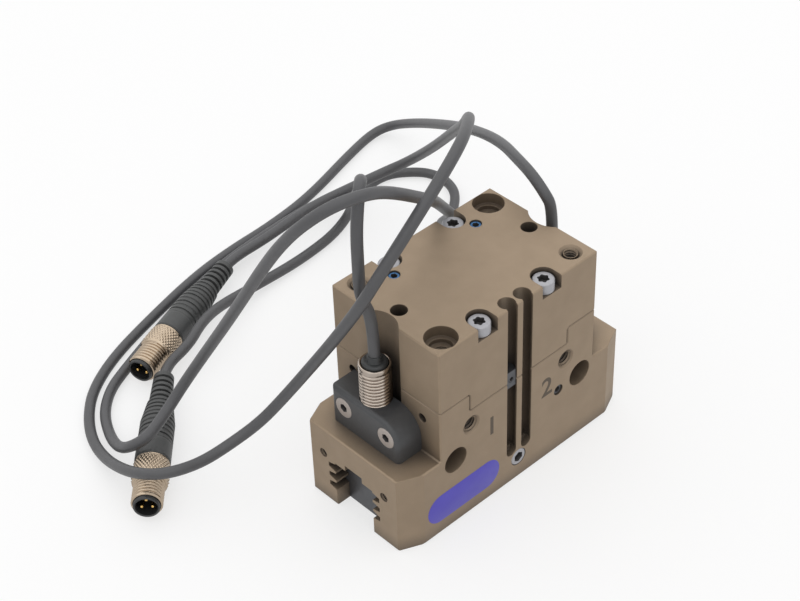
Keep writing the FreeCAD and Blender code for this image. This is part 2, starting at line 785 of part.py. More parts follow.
def build_cover():
    """The upper body: tongue, spring pockets, screw pockets, mounting holes and slot ends."""
    low = at.parting_low
    step = dims.tongue_length / 2
    half = [(step, low), (step, dims.parting_height), (at.block_end, dims.parting_height),
            (at.block_end, dims.total_height)]
    profile = half + [(-x, z) for x, z in reversed(half)]
    block = prism("cover_block", "XZ_Plane", profile, at.front, dims.body_depth)

    def wanted(edge):
        on_top = all(abs(vertex.Point.z - dims.total_height.value) < 1e-6 for vertex in edge.Vertexes)
        return on_top or on_outer_face(edge, dims.body_depth)

    chamfer(block, dims.edge_chamfer, wanted)

    tools = [racetrack("upper_chamber", dims.bore_length, at.bore_depth, low, at.chamber_roof - low)]
    pocket = dims.spring_diameter + 2 * dims.spring_pocket_gap
    for side, sign in SIDES.items():
        tools.append(cylinder(f"spring_pocket_{side}", pocket, at.spring_roof - at.chamber_roof,
                              (sign * dims.spring_offset, as_size(0), at.chamber_roof)))
    tools += cap_screw_holes("cover_hole", low, at.cap_seat)
    pocket = dims.cap_head_diameter + 2 * dims.cap_pocket_gap
    for tag, x, y in four_ways(dims.cap_screw_pitch_long, at.cap_screw_pitch_deep):
        rise = dims.total_height - at.cap_seat
        tools.append(cylinder(f"cap_pocket_{tag}", pocket, rise, (x, y, at.cap_seat)))
        corner = y if y.value > 0 else y - pocket / 2
        tools.append(box(f"cap_breakout_{tag}", (x - pocket / 2, corner, at.cap_seat),
                         (pocket, pocket / 2, rise)))
    tools += dowel_holes("cover_dowel")
    tools += slot_tools("cover_slot", dims.total_height)
    tools += notch_tools("cover_notch", dims.parting_height, dims.total_height)
    down = -UP
    top = dims.total_height
    for side, sign in SIDES.items():
        x = sign * at.corner_pitch_long / 2
        y = sign * at.corner_pitch_deep / 2
        tools.append(cylinder(f"corner_sleeve_{side}", dims.sleeve_diameter, dims.sleeve_depth, (x, y, top), down))
        tools.append(cylinder(f"corner_step_{side}", dims.step_diameter, dims.sleeve_depth + dims.step_depth,
                              (x, y, top), down))
        tools.append(cylinder(f"corner_deep_{side}", dims.corner_thread_diameter,
                              dims.sleeve_depth + dims.corner_thread_depth, (x, y, top), down))
        tools.append(threaded_hole(f"corner_thread_{side}", dims.corner_thread_diameter,
                                   dims.corner_thread_depth, dims.corner_countersink, (x, -y, top), down))
        tools.append(cylinder(f"middle_hole_{side}", dims.middle_diameter, dims.middle_depth,
                              (sign * at.middle_pitch / 2, as_size(0), top), down))
        tools.append(cylinder(f"top_set_hole_{side}", dims.set_screw_diameter + 2 * dims.fit_clearance,
                              dims.set_screw_sink + dims.set_screw_length + dims.fit_clearance,
                              (sign * dims.top_set_pitch / 2, dims.top_set_offset, top), down))
    finish("cover", cut("cover", block, tools))


def build_piston():
    """The racetrack piston with its seal, magnet and screw."""
    length = dims.bore_length - 2 * dims.piston_clearance
    depth = at.bore_depth - 2 * dims.piston_clearance
    blank = racetrack("piston_blank", length, depth, at.piston_low, dims.piston_height)
    seal_low = at.piston_low + dims.seal_lift
    head_seat = at.piston_top - dims.piston_screw_head_height - dims.travel_clearance
    gap = 2 * dims.fit_clearance
    tools = [
        frame_ring("piston_groove", length, depth, dims.seal_depth, seal_low, dims.seal_height),
        cylinder("piston_rod_socket", dims.rod_diameter + gap, dims.rod_socket, (0, 0, at.piston_low)),
        cylinder("piston_screw_hole", dims.piston_screw_diameter + gap, dims.piston_height,
                 (0, 0, at.piston_low)),
        cylinder("piston_screw_sink", dims.piston_screw_head + gap, at.piston_top - head_seat, (0, 0, head_seat)),
        cylinder("magnet_hole", dims.magnet_diameter + gap, dims.magnet_height,
                 (0, -at.magnet_offset, at.piston_top), -UP),
    ]
    seat = dims.spring_diameter + 2 * dims.spring_pocket_gap
    for side, sign in SIDES.items():
        tools.append(cylinder(f"spring_seat_{side}", seat, dims.spring_seat_depth,
                              (sign * dims.spring_offset, as_size(0), at.piston_top), -UP))
    finish("piston", cut("piston", blank, tools))

    overhang = 2 * (dims.piston_clearance - dims.seal_clearance)
    width = dims.seal_depth + dims.piston_clearance - dims.seal_clearance
    finish("piston_seal", frame_ring("piston_seal", length + overhang, depth + overhang, width,
                                     seal_low, dims.seal_height))
    finish("piston_magnet", cylinder("piston_magnet", dims.magnet_diameter, dims.magnet_height,
                                     (0, -at.magnet_offset, at.piston_top), -UP))
    finish("piston_screw", cap_screw("piston_screw", dims.piston_screw_head, dims.piston_screw_head_height,
                                     dims.piston_screw_diameter, dims.piston_screw_length,
                                     dims.piston_screw_diameter * 0.6, (0, 0, head_seat), UP))


def build_hook():
    """The wedge hook: a slanting block with a T rib on each flank and the piston rod on top."""
    low = dims.hook_lift
    high = at.hook_top
    core = [(hook_half_width(low), low), (hook_half_width(high), high),
            (-hook_half_width(high), high), (-hook_half_width(low), low)]
    solids = [prism("hook_core", "XZ_Plane", core, -dims.hook_width / 2, dims.hook_width)]
    for side, sign in SIDES.items():
        neck = hook_band(sign, low, high, -dims.neck_reach / 2, dims.neck_reach)
        head = hook_band(sign, low, high, dims.neck_reach, dims.neck_reach + dims.head_reach)
        solids.append(prism(f"hook_neck_{side}", "XZ_Plane", neck, -dims.neck_width / 2, dims.neck_width))
        solids.append(prism(f"hook_head_{side}", "XZ_Plane", head, -dims.head_width / 2, dims.head_width))
    rod_top = at.piston_low + dims.rod_socket
    solids.append(cylinder("hook_rod", dims.rod_diameter, rod_top - high, (0, 0, high)))
    body = fuse("hook_blank", solids)
    head_seat = at.piston_top - dims.piston_screw_head_height - dims.travel_clearance
    tip = head_seat - dims.piston_screw_length - dims.travel_clearance
    tap = cylinder("hook_tap", dims.piston_screw_diameter + 2 * dims.fit_clearance, rod_top - tip, (0, 0, tip))
    finish("wedge_hook", cut("wedge_hook", body, [tap]))


def build_seals_and_bush():
    """The rod's bush and seal in the web, and the cover's seal."""
    bore = dims.rod_diameter + 2 * dims.rod_clearance
    outer = bore + 2 * dims.bush_wall
    for name, low, height in (
        ("rod_bush", at.pocket_top, dims.bush_height),
        ("rod_seal", at.pocket_top + dims.bush_height, dims.web_thickness - dims.bush_height),
    ):
        ring = cylinder(f"{name}_outer", outer, height, (0, 0, low))
        hole = cylinder(f"{name}_hole", bore, height, (0, 0, low))
        finish(name, cut(name, ring, [hole]))
    gap = dims.fit_clearance
    margin = 2 * (dims.cover_seal_margin + dims.cover_seal_width - gap)
    finish("cover_seal", frame_ring("cover_seal", dims.bore_length + margin, at.bore_depth + margin,
                                    dims.cover_seal_width - 2 * gap,
                                    at.parting_low - dims.cover_seal_height, dims.cover_seal_height))


def build_springs():
    """The two compression springs between the piston and the cover's roof."""
    low = at.piston_top.value - dims.spring_seat_depth.value
    wire = dims.spring_wire.value
    rise = at.spring_roof.value - low - wire
    mean = (dims.spring_diameter.value - wire) / 2
    path = Part.makeHelix(rise / SPRING_TURNS, rise, mean)
    section = Part.Wire(Part.makeCircle(wire / 2, Vector(mean, 0, 0), BACKWARD))
    coil = Part.Wire(path).makePipeShell([section], True, True)
    for side, sign in SIDES.items():
        item = doc.addObject("Part::Feature", f"spring_{side}")
        item.Shape = coil
        item.Placement = Placement(Vector(sign * dims.spring_offset.value, 0, low + wire / 2), Rotation())
        finish(f"spring_{side}", item)


def build_jaws():
    """The two base jaws with their T slots, finger holes, sensor cams and cam screws."""
    gap = dims.jaw_clearance
    inner = dims.hook_top_width / 2
    length = at.jaw_end - inner
    low = -dims.jaw_lift
    high = dims.guide_height + dims.jaw_lift
    slack = dims.hook_clearance
    slot_top = dims.guide_height + dims.cam_slot_height
    for side, sign in SIDES.items():
        start = inner if sign > 0 else -at.jaw_end
        bar = prism(f"jaw_bar_{side}", "YZ_Plane", guide_profile(gap, dims.jaw_lift), start, length)
        depth = dims.body_depth
        face = hook_band(sign, low, high, -dims.flange_height, slack)
        neck = hook_band(sign, low, high, as_size(0), dims.neck_reach + slack)
        head = hook_band(sign, low, high, dims.neck_reach - slack, dims.neck_reach + dims.head_reach + slack)
        neck_width = dims.neck_width + 2 * slack
        head_width = dims.head_width + 2 * slack
        tools = [
            prism(f"jaw_face_{side}", "XZ_Plane", face, -depth / 2, depth),
            prism(f"jaw_neck_{side}", "XZ_Plane", neck, -neck_width / 2, neck_width),
            prism(f"jaw_head_{side}", "XZ_Plane", head, -head_width / 2, head_width),
        ]
        for row in range(2):
            x = sign * (at.jaw_end - dims.finger_hole_setback - row * dims.finger_hole_pitch)
            spot = (x, as_size(0), dims.jaw_lift)
            tools.append(cylinder(f"finger_sleeve_{side}_{row}", dims.finger_sleeve_diameter,
                                  dims.finger_sleeve_depth, spot))
            tools.append(cylinder(f"finger_thread_{side}_{row}", dims.finger_thread_diameter,
                                  dims.finger_thread_depth, spot))
        cam_outer = at.jaw_end - dims.cam_setback
        cam_middle = cam_outer - dims.cam_length / 2
        cam_low = dims.guide_height - gap
        cam_high = slot_top - gap
        cam_width = dims.cam_slot_width - 2 * gap
        cam_start = cam_outer - dims.cam_length if sign > 0 else -cam_outer
        strip = box(f"cam_strip_{side}", (cam_start, -cam_width / 2, cam_low),
                    (dims.cam_length, cam_width, cam_high - cam_low))
        screws = []
        seats = []
        for row, turn in (("inner", -1), ("outer", 1)):
            spot = (sign * (cam_middle + turn * dims.cam_screw_pitch / 2), as_size(0), cam_high)
            screws.append(flat_screw(f"cam_screw_{side}_{row}", dims.cam_screw_head, dims.cam_screw_diameter,
                                     dims.cam_screw_length, dims.cam_screw_diameter * 0.6, spot, -UP))
            for tool in ("strip", "bar"):
                seats.append((tool, flat_seat(f"cam_seat_{tool}_{side}_{row}", dims.cam_screw_head,
                                              dims.cam_screw_diameter, dims.cam_screw_length,
                                              dims.fit_clearance, spot, -UP)))
        tools += [seat for tool, seat in seats if tool == "bar"]
        finish(f"jaw_{side}", cut(f"jaw_{side}", bar, tools))
        finish(f"cam_{side}", cut(f"cam_{side}", strip, [seat for tool, seat in seats if tool == "strip"]))
        finish(f"cam_screws_{side}", group(f"cam_screws_{side}", screws))


def build_bottom_plate():
    """The thin plate that closes the hook pocket between the jaws, and its screws."""
    plate = box("plate_blank", (-dims.plate_length / 2, -dims.plate_width / 2, as_size(0)),
                (dims.plate_length, dims.plate_width, dims.plate_thickness))
    seats = []
    screws = []
    for tag, x, y in plate_screw_spots():
        spot = (x, y, as_size(0))
        seats.append(flat_seat(f"plate_seat_{tag}", dims.plate_screw_head, dims.plate_screw_diameter,
                               dims.plate_screw_length, dims.fit_clearance, spot, UP))
        screws.append(flat_screw(f"plate_screw_{tag}", dims.plate_screw_head, dims.plate_screw_diameter,
                                 dims.plate_screw_length, dims.plate_screw_diameter * 0.6, spot, UP))
    finish("bottom_plate", cut("bottom_plate", plate, seats))
    finish("bottom_plate_screws", group("bottom_plate_screws", screws))


def build_fasteners():
    """The cover screws, dowels, set screws, purge plug and the stop in the left slot."""
    screws = []
    for tag, x, y in four_ways(dims.cap_screw_pitch_long, at.cap_screw_pitch_deep):
        screws.append(cap_screw(f"cover_screw_{tag}", dims.cap_head_diameter, dims.cap_head_height,
                                dims.cap_screw_diameter, at.cap_screw_length, dims.cap_socket_width,
                                (x, y, at.cap_seat), UP))
    finish("cover_screws", group("cover_screws", screws))
    low = dims.parting_height - dims.dowel_length / 2
    pins = [cylinder(f"dowel_{side}", dims.dowel_diameter, dims.dowel_length, (x, y, low))
            for side, x, y in dowel_spots()]
    finish("dowel_pins", group("dowel_pins", pins))
    sunk = dims.total_height - dims.set_screw_sink
    caps = [set_screw(f"top_set_{side}", dims.set_screw_diameter, dims.set_screw_length, dims.set_socket_width,
                      (sign * dims.top_set_pitch / 2, dims.top_set_offset, sunk), -UP)
            for side, sign in SIDES.items()]
    finish("top_set_screws", group("top_set_screws", caps))
    finish("front_set_screw", set_screw("front_set_screw", dims.set_screw_diameter, dims.set_screw_length,
                                        dims.set_socket_width,
                                        (dims.front_set_x, at.front + dims.set_screw_sink,
                                         dims.front_set_height), BACKWARD))
    finish("purge_plug", set_screw("purge_plug", dims.purge_diameter, dims.purge_length,
                                   dims.purge_socket_width, (0, at.front, dims.purge_height), BACKWARD))

    middle = -dims.slot_pitch / 2
    gap = dims.stop_clearance
    barrel = cylinder("stop_barrel", dims.slot_diameter - 2 * gap, dims.stop_height,
                      (middle, at.slot_axis, at.stop_level))
    front = at.front + dims.stop_sink
    width = dims.slot_mouth - 2 * gap
    shoe = box("stop_shoe", (middle - width / 2, front, at.stop_level),
               (width, at.slot_axis - front, dims.stop_height))
    trim = box("stop_trim", (middle - dims.slot_pitch, at.front - dims.slot_pitch, at.stop_level),
               (2 * dims.slot_pitch, dims.slot_pitch + dims.stop_sink, dims.stop_height))
    block = cut("stop_block_blank", fuse("stop_block_body", [barrel, shoe]), [trim])
    spot = (middle, front, at.stop_level + dims.stop_height / 2)
    hole = cylinder("stop_hole", dims.stop_screw_diameter + 2 * dims.fit_clearance,
                    dims.stop_screw_length + dims.fit_clearance, spot, BACKWARD)
    finish("slot_block", cut("slot_block", block, [hole]))
    finish("slot_block_screw", set_screw("slot_block_screw", dims.stop_screw_diameter, dims.stop_screw_length,
                                         dims.stop_screw_diameter / 2, spot, BACKWARD))


def build_brackets():
    """The sensor clamps on both ends of the flange, and their screws."""
    screws = []
    half = dims.bracket_width / 2
    for side, sign in SIDES.items():
        outer = sign * at.bracket_face
        inner = sign * at.block_end
        plan = [(inner, -half), (outer, -half), (outer, half), (inner, half)]
        block = prism(f"bracket_block_{side}", "XY_Plane", plan, dims.flange_height, dims.bracket_height)

        def at_shoulder(edge):
            ends = [vertex.Point for vertex in edge.Vertexes]
            return all(abs(end.z - at.bracket_top.value) < 1e-6 and abs(end.y - sign * half.value) < 1e-6
                       for end in ends)

        def at_face(edge):
            ends = [vertex.Point for vertex in edge.Vertexes]
            at_foot = all(abs(end.z - dims.flange_height.value) < 1e-6 for end in ends)
            return not at_foot and all(abs(end.x - outer.value) < 1e-6 for end in ends)

        fillet(block, "shoulder", dims.bracket_shoulder, at_shoulder)
        fillet(block, "rim", dims.bracket_round, at_face)
        tools = [cylinder(f"bracket_bore_{side}", dims.sensor_diameter + 2 * dims.fit_clearance,
                          dims.bracket_height,
                          (sign * dims.sensor_reach, -sign * dims.sensor_offset, dims.flange_height))]
        for end, turn in (("front", -1), ("back", 1)):
            spot = (outer, turn * dims.bracket_screw_pitch / 2, dims.bracket_screw_height)
            tools.append(flat_seat(f"bracket_seat_{side}_{end}", dims.bracket_screw_head,
                                   dims.bracket_screw_diameter, dims.bracket_screw_length,
                                   dims.fit_clearance, spot, -sign * ALONG))
            screws.append(flat_screw(f"bracket_screw_{side}_{end}", dims.bracket_screw_head,
                                     dims.bracket_screw_diameter, dims.bracket_screw_length,
                                     dims.bracket_socket_width, spot, -sign * ALONG))
        finish(f"sensor_bracket_{side}", cut(f"sensor_bracket_{side}", block, tools))
    finish("bracket_screws", group("bracket_screws", screws))


def build_sensors():
    """The two sensors: a threaded tube, a sensing face below and a cap with the lead's outlet on top."""
    radius = dims.sensor_diameter / 2
    bore = radius - dims.sensor_wall
    low = at.sensor_low
    top = dims.sensor_top
    shoulder = top + dims.cap_rise
    outlet = dims.outlet_diameter / 2
    lead_end = shoulder + dims.outlet_height
    profiles = {
        "sensor_barrel": [(bore, low), (radius, low), (radius, top), (bore, top)],
        "sensor_face": [(0, low), (bore, low), (bore, low + dims.tip_height), (0, low + dims.tip_height)],
        "sensor_cap": [(0, top - dims.cap_depth), (bore, top - dims.cap_depth), (bore, top),
                       (bore - dims.sensor_wall / 2, shoulder), (outlet + dims.sensor_wall / 2, shoulder),
                       (outlet, shoulder + dims.sensor_wall), (outlet, lead_end), (0, lead_end)],
    }
    for side, sign in SIDES.items():
        for name, points in profiles.items():
            item = turned(f"{name}_{side}", points)
            bind(item, "Placement.Base.x", sign * dims.sensor_reach)
            bind(item, "Placement.Base.y", -sign * dims.sensor_offset)
            finish(f"{name}_{side}", item)
    return lead_end


def relief_profile(start):
    """The grip's outer section from its front face at a start, with the ribs of the strain relief."""
    grip = dims.grip_diameter / 2
    neck = dims.grip_neck_diameter / 2
    taper = start + dims.grip_length
    ribs = taper + dims.grip_taper_length
    end = ribs + dims.relief_length
    points = [(grip, start), (grip, taper), (neck, ribs)]
    for step in range(RELIEF_GROOVES):
        share = (step + 1) / (RELIEF_GROOVES + 1)
        rib = (dims.relief_diameter + share * (dims.relief_end_diameter - dims.relief_diameter)) / 2
        first = ribs + (step + 0.5) * dims.relief_pitch
        last = first + dims.relief_groove
        core = rib - dims.relief_groove
        points += [(rib, first), (core, first), (core, last), (rib, last)]
    tail = dims.relief_end_diameter / 2
    return points + [(tail, end), (0, end)], end


def build_plugs():
    """The round plugs on the leads: insert, pins, free-turning threaded ring and moulded grip."""
    insert = dims.plug_insert_diameter / 2
    cup = dims.plug_cup_diameter / 2
    bore = insert + dims.ring_clearance
    thread_end = dims.ring_start + dims.thread_length
    ring_end = thread_end + dims.knurl_length
    thread = dims.thread_diameter / 2
    knurl = dims.knurl_diameter / 2
    joint = dims.plug_insert_length
    grip_start = ring_end + dims.ring_clearance
    skirt, grip_end = relief_profile(grip_start)
    profiles = {
        "plug_insert": [(cup, 0), (insert, 0), (insert, joint), (0, joint),
                        (0, dims.plug_cup_depth), (cup, dims.plug_cup_depth)],
        "plug_ring": [(bore, dims.ring_start), (thread, dims.ring_start), (thread, thread_end),
                      (knurl, thread_end), (knurl, ring_end), (bore, ring_end)],
        "plug_grip": [(0, joint), (insert, joint), (insert, grip_start), *skirt],
    }
    ends = {}
    for side in SIDES:
        tip = PLUG_TIPS[side]
        aim = (PLUG_AIMS[side] - tip).normalize()
        spot = Placement(tip, Rotation(UP, aim))
        for name, points in profiles.items():
            item = turned(f"{name}_{side}", points)
            item.Placement = spot
            finish(f"{name}_{side}", item)
        pins = []
        for count in range(PINS):
            angle = 2 * math.pi * count / PINS
            across = Vector(math.cos(angle), math.sin(angle), 0) * (dims.pin_circle.value / 2)
            pin = doc.addObject("Part::Cylinder", f"pin_{side}_{count}")
            bind(pin, "Radius", dims.pin_diameter / 2)
            bind(pin, "Height", dims.pin_length)
            lift = UP * (dims.plug_cup_depth.value - dims.pin_length.value)
            pin.Placement = spot * Placement(across + lift, Rotation())
            pins.append(pin)
        finish(f"plug_pins_{side}", group(f"plug_pins_{side}", pins))
        ends[side] = (tip + aim * grip_end.value, aim)
    return ends


def bend(before, corner, after):
    """The arc that rounds a corner, tangent to both runs, and its radius."""
    inward = (corner - before).normalize()
    onward = (after - corner).normalize()
    half = inward.getAngle(onward) / 2
    setback = BEND_SHARE * min((corner - before).Length, (after - corner).Length)
    radius = setback / math.tan(half)
    middle = corner + (onward - inward).normalize() * (radius / math.cos(half) - radius)
    return Part.Arc(corner - inward * setback, middle, corner + onward * setback), radius


def build_leads(lead_end, plug_ends):
    """The two leads: round tubes of straight runs and tangent arcs from a sensor to its plug."""
    radius = dims.lead_diameter.value / 2
    for side, sign in SIDES.items():
        start = Vector(sign * dims.sensor_reach.value, -sign * dims.sensor_offset.value, lead_end.value)
        end, aim = plug_ends[side]
        points = [start, start + UP * dims.lead_rise.value, *(Vector(*corner) for corner in LEAD_ROUTES[side]),
                  end + aim * dims.lead_run_out.value, end]
        edges = []
        radii = []
        last = start
        for before, corner, after in zip(points, points[1:], points[2:]):
            arc, turn_radius = bend(before, corner, after)
            edges += [Part.LineSegment(last, arc.StartPoint).toShape(), arc.toShape()]
            radii.append(round(turn_radius, 1))
            last = arc.EndPoint
        edges.append(Part.LineSegment(last, end).toShape())
        path = Part.Wire(edges)
        section = Part.Wire(Part.makeCircle(radius, start, UP))
        item = doc.addObject("Part::Feature", f"lead_{side}")
        item.Shape = path.makePipeShell([section], True, False)
        share = item.Shape.Volume / (math.pi * radius ** 2 * path.Length)
        print(f"lead_{side} length {path.Length:.1f} volume share {share:.4f} least radii {sorted(radii)[:8]}")
        finish(f"lead_{side}", item)


def check_and_write():
    """Stop on any failed object or bad shape, then write each piece to its own file."""
    doc.recompute()
    failed = [item.Name for item in doc.Objects if {"Invalid", "Error"} & set(item.State)]
    if failed:
        raise RuntimeError(f"failed objects: {failed}")
    for item in pieces:
        if item.Shape.isNull() or not item.Shape.isValid():
            raise RuntimeError(f"bad shape: {item.Label}")
    os.makedirs("parts", exist_ok=True)
    for item in pieces:
        item.Shape.exportStep(f"parts/{item.Label}.step")
        print(item.Label, len(item.Shape.Solids), round(item.Shape.Volume, 2))


dims = fill_sheet()
at = locate()
build_housing()
build_cover()
build_piston()
build_hook()
build_seals_and_bush()
build_springs()
build_jaws()
build_bottom_plate()
build_fasteners()
build_brackets()
build_leads(build_sensors(), build_plugs())
check_and_write()
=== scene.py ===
"""Looks of a pneumatic parallel gripper with two sensors on leads, built round its CAD frame.

Sizes are in millimetres and are turned into metres where a piece is placed. The frame is the CAD one: +Z up,
the front at -Y, the left end at -X.
"""

from __future__ import annotations

import json
import logging
import math
from dataclasses import dataclass, field
from enum import Enum

import bpy
import numpy as np
from mathutils import Matrix

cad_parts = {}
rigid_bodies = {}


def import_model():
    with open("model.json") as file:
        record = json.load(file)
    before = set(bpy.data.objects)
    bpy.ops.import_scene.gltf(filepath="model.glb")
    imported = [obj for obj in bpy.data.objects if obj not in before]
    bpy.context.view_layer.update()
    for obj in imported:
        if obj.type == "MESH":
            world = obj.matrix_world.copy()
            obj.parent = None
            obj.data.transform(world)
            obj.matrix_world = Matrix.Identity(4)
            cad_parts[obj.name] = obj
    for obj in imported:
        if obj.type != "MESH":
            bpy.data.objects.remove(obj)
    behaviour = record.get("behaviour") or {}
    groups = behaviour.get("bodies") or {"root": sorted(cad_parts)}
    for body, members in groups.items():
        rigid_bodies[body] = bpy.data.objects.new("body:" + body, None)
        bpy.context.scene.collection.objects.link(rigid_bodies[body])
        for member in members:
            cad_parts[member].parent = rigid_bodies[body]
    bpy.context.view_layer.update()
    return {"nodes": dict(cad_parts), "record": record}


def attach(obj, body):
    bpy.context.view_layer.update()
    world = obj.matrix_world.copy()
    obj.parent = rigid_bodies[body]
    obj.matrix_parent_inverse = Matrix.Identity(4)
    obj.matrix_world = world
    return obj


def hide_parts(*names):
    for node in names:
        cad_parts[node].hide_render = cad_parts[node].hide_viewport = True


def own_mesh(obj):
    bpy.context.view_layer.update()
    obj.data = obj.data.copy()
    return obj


MM = 0.001
TURN = 2.0 * math.pi
CORNERS = ((-1, -1), (1, -1), (-1, 1), (1, 1))
UP = (0.0, 0.0, 1.0)
FORWARD = (0.0, -1.0, 0.0)
DRIVE_SIDES = 6
LOBE_SHARE = 0.1
SLIT_STEEPNESS = 6.0
CREASE = 40.0
FINE_CREASE = 75.0
GRIP_CREASE = 60.0
Point = tuple[float, float, float]
Rgb = tuple[int, int, int]
log = logging.getLogger("gripper")


class Side(Enum):
    """Which sensor, jaw or plug, as seen from the front."""

    LEFT = "left"
    RIGHT = "right"

    @property
    def sign(self) -> float:
        """The side's direction along X."""
        return -1.0 if self is Side.LEFT else 1.0


class Ends(Enum):
    """How a grid of rows is closed."""

    POLES = "each end row closes on a point"
    LOOP = "the last row joins the first"


class Drive(Enum):
    """The recess that a tool fits."""

    HEX = "six flats"
    LOBES = "six lobes"

    def outline(self, width: float, angles: np.ndarray) -> np.ndarray:
        """Radius at each angle: half the width over the cosine to the next flat, or a mean with six waves.

        Args:
            width: distance over the flats or over the lobes.
            angles: where the radius is wanted.

        Returns:
            One radius for each angle.
        """
        if self is Drive.HEX:
            sector = TURN / DRIVE_SIDES
            return width / 2 / np.cos(np.mod(angles + sector / 2, sector) - sector / 2)
        wave = LOBE_SHARE * width / 2
        return width / 2 - wave + wave * np.cos(DRIVE_SIDES * angles)


# ---------------------------------------------------------------- geometry


@dataclass(frozen=True)
class Place:
    """Where a piece's own z axis stands in the shared frame, in millimetres."""

    origin: Point
    axis: Point = UP
    steep: float = 0.9

    def basis(self) -> np.ndarray:
        """The piece's x, y and z directions as rows: z along the axis, y as near to up as it goes."""
        forward = np.array(self.axis, float) / np.linalg.norm(self.axis)
        helper = np.array((0.0, 1.0, 0.0)) if abs(forward[2]) > self.steep else np.array(UP)
        side = np.cross(helper, forward)
        side /= np.linalg.norm(side)
        return np.stack([side, np.cross(forward, side), forward])

    def apply(self, points: np.ndarray) -> np.ndarray:
        """Points of the piece's own frame, carried into the shared frame in metres."""
        return (np.array(self.origin, float) + points @ self.basis()) * MM

    def along(self, distance: float) -> Place:
        """The same axis from a point further along it."""
        return Place(tuple(np.array(self.origin) + self.basis()[2] * distance), self.axis)


def ring_angles(columns: int) -> np.ndarray:
    """Angles of one turn, the last one short of the first."""
    return np.linspace(0.0, TURN, columns, endpoint=False)


def turned(radius: np.ndarray, height: np.ndarray, angles: np.ndarray) -> np.ndarray:
    """A turned surface: each point is (radius cos angle, radius sin angle, height).

    Args:
        radius: rows, or rows by columns.
        height: one value for each row.
        angles: one value for each column.

    Returns:
        Rows by columns by 3.
    """
    radius = radius.reshape(len(height), -1) * np.ones(len(angles))
    return np.stack([radius * np.cos(angles), radius * np.sin(angles),
                     height[:, None] * np.ones(len(angles))], axis=-1)


def lathe(profile: list[tuple[float, float]], columns: int) -> np.ndarray:
    """The turned surface of (radius, height) corners."""
    rows = np.array(profile, float)
    return turned(rows[:, 0], rows[:, 1], ring_angles(columns))


def triangle_wave(phase: np.ndarray) -> np.ndarray:
    """0 at each whole phase and 1 half way between."""
    return 1.0 - np.abs(2.0 * np.mod(phase, 1.0) - 1.0)


def slits(phase: np.ndarray, share: float) -> np.ndarray:
    """A steep cosine clipped to 0 and 1, which is 1 in a share of each period about its whole phases."""
    return np.clip(SLIT_STEEPNESS * (np.cos(TURN * phase) - math.cos(math.pi * share)), 0.0, 1.0)


def round_edge(radius: float, height: float, edge: float, steps: int = 5) -> list[tuple[float, float]]:
    """A quarter circle from the side of a turned piece into its top, as (radius, height) corners."""
    turns = np.linspace(0.0, math.pi / 2, steps)
    return list(zip(radius - edge + edge * np.cos(turns), height - edge + edge * np.sin(turns)))


@dataclass(frozen=True)
class Thread:
    """A screw thread between two heights, fading out at both."""

    top_radius: float
    depth: float
    pitch: float
    low: float
    high: float
    fade: float = 0.8
    rows_per_pitch: int = 14
    sharpness: float = 1.3

    def heights(self) -> np.ndarray:
        """Rows close enough together to show the thread's flanks."""
        pitches = (self.high - self.low) / self.pitch
        return np.linspace(self.low, self.high, int(pitches * self.rows_per_pitch) + 1)

    def radius(self, height: np.ndarray, angles: np.ndarray) -> np.ndarray:
        """Top radius less the depth times a raised cosine of height over pitch less angle over a turn."""
        groove = (0.5 + 0.5 * np.cos(TURN * height[:, None] / self.pitch - angles)) ** self.sharpness
        fade = np.clip(np.minimum(height - self.low, self.high - height) / self.fade, 0.0, 1.0)
        return self.top_radius - self.depth * groove * fade[:, None]


@dataclass(frozen=True)
class Knurl:
    """Diamond knurling: small pyramids between two sets of crossing grooves."""

    top_radius: float
    depth: float
    starts: int
    low: float
    high: float
    rows: int = 45
    margin: float = 0.35
    slant: float = 1.35

    def heights(self) -> np.ndarray:
        """Rows over the knurled length."""
        return np.linspace(self.low, self.high, self.rows)

    def radius(self, height: np.ndarray, angles: np.ndarray) -> np.ndarray:
        """Top radius less depth times one minus the lower of two triangle waves, of angle +- height."""
        step = TURN * self.top_radius / self.starts
        around = self.starts * angles / TURN
        rise = (height[:, None] - self.low) / (self.slant * step)
        peak = np.minimum(triangle_wave(around + rise), triangle_wave(around - rise))
        fade = np.clip(np.minimum(height - self.low, self.high - height) / self.margin, 0.0, 1.0)
        return self.top_radius - self.depth * (1.0 - peak * fade[:, None])


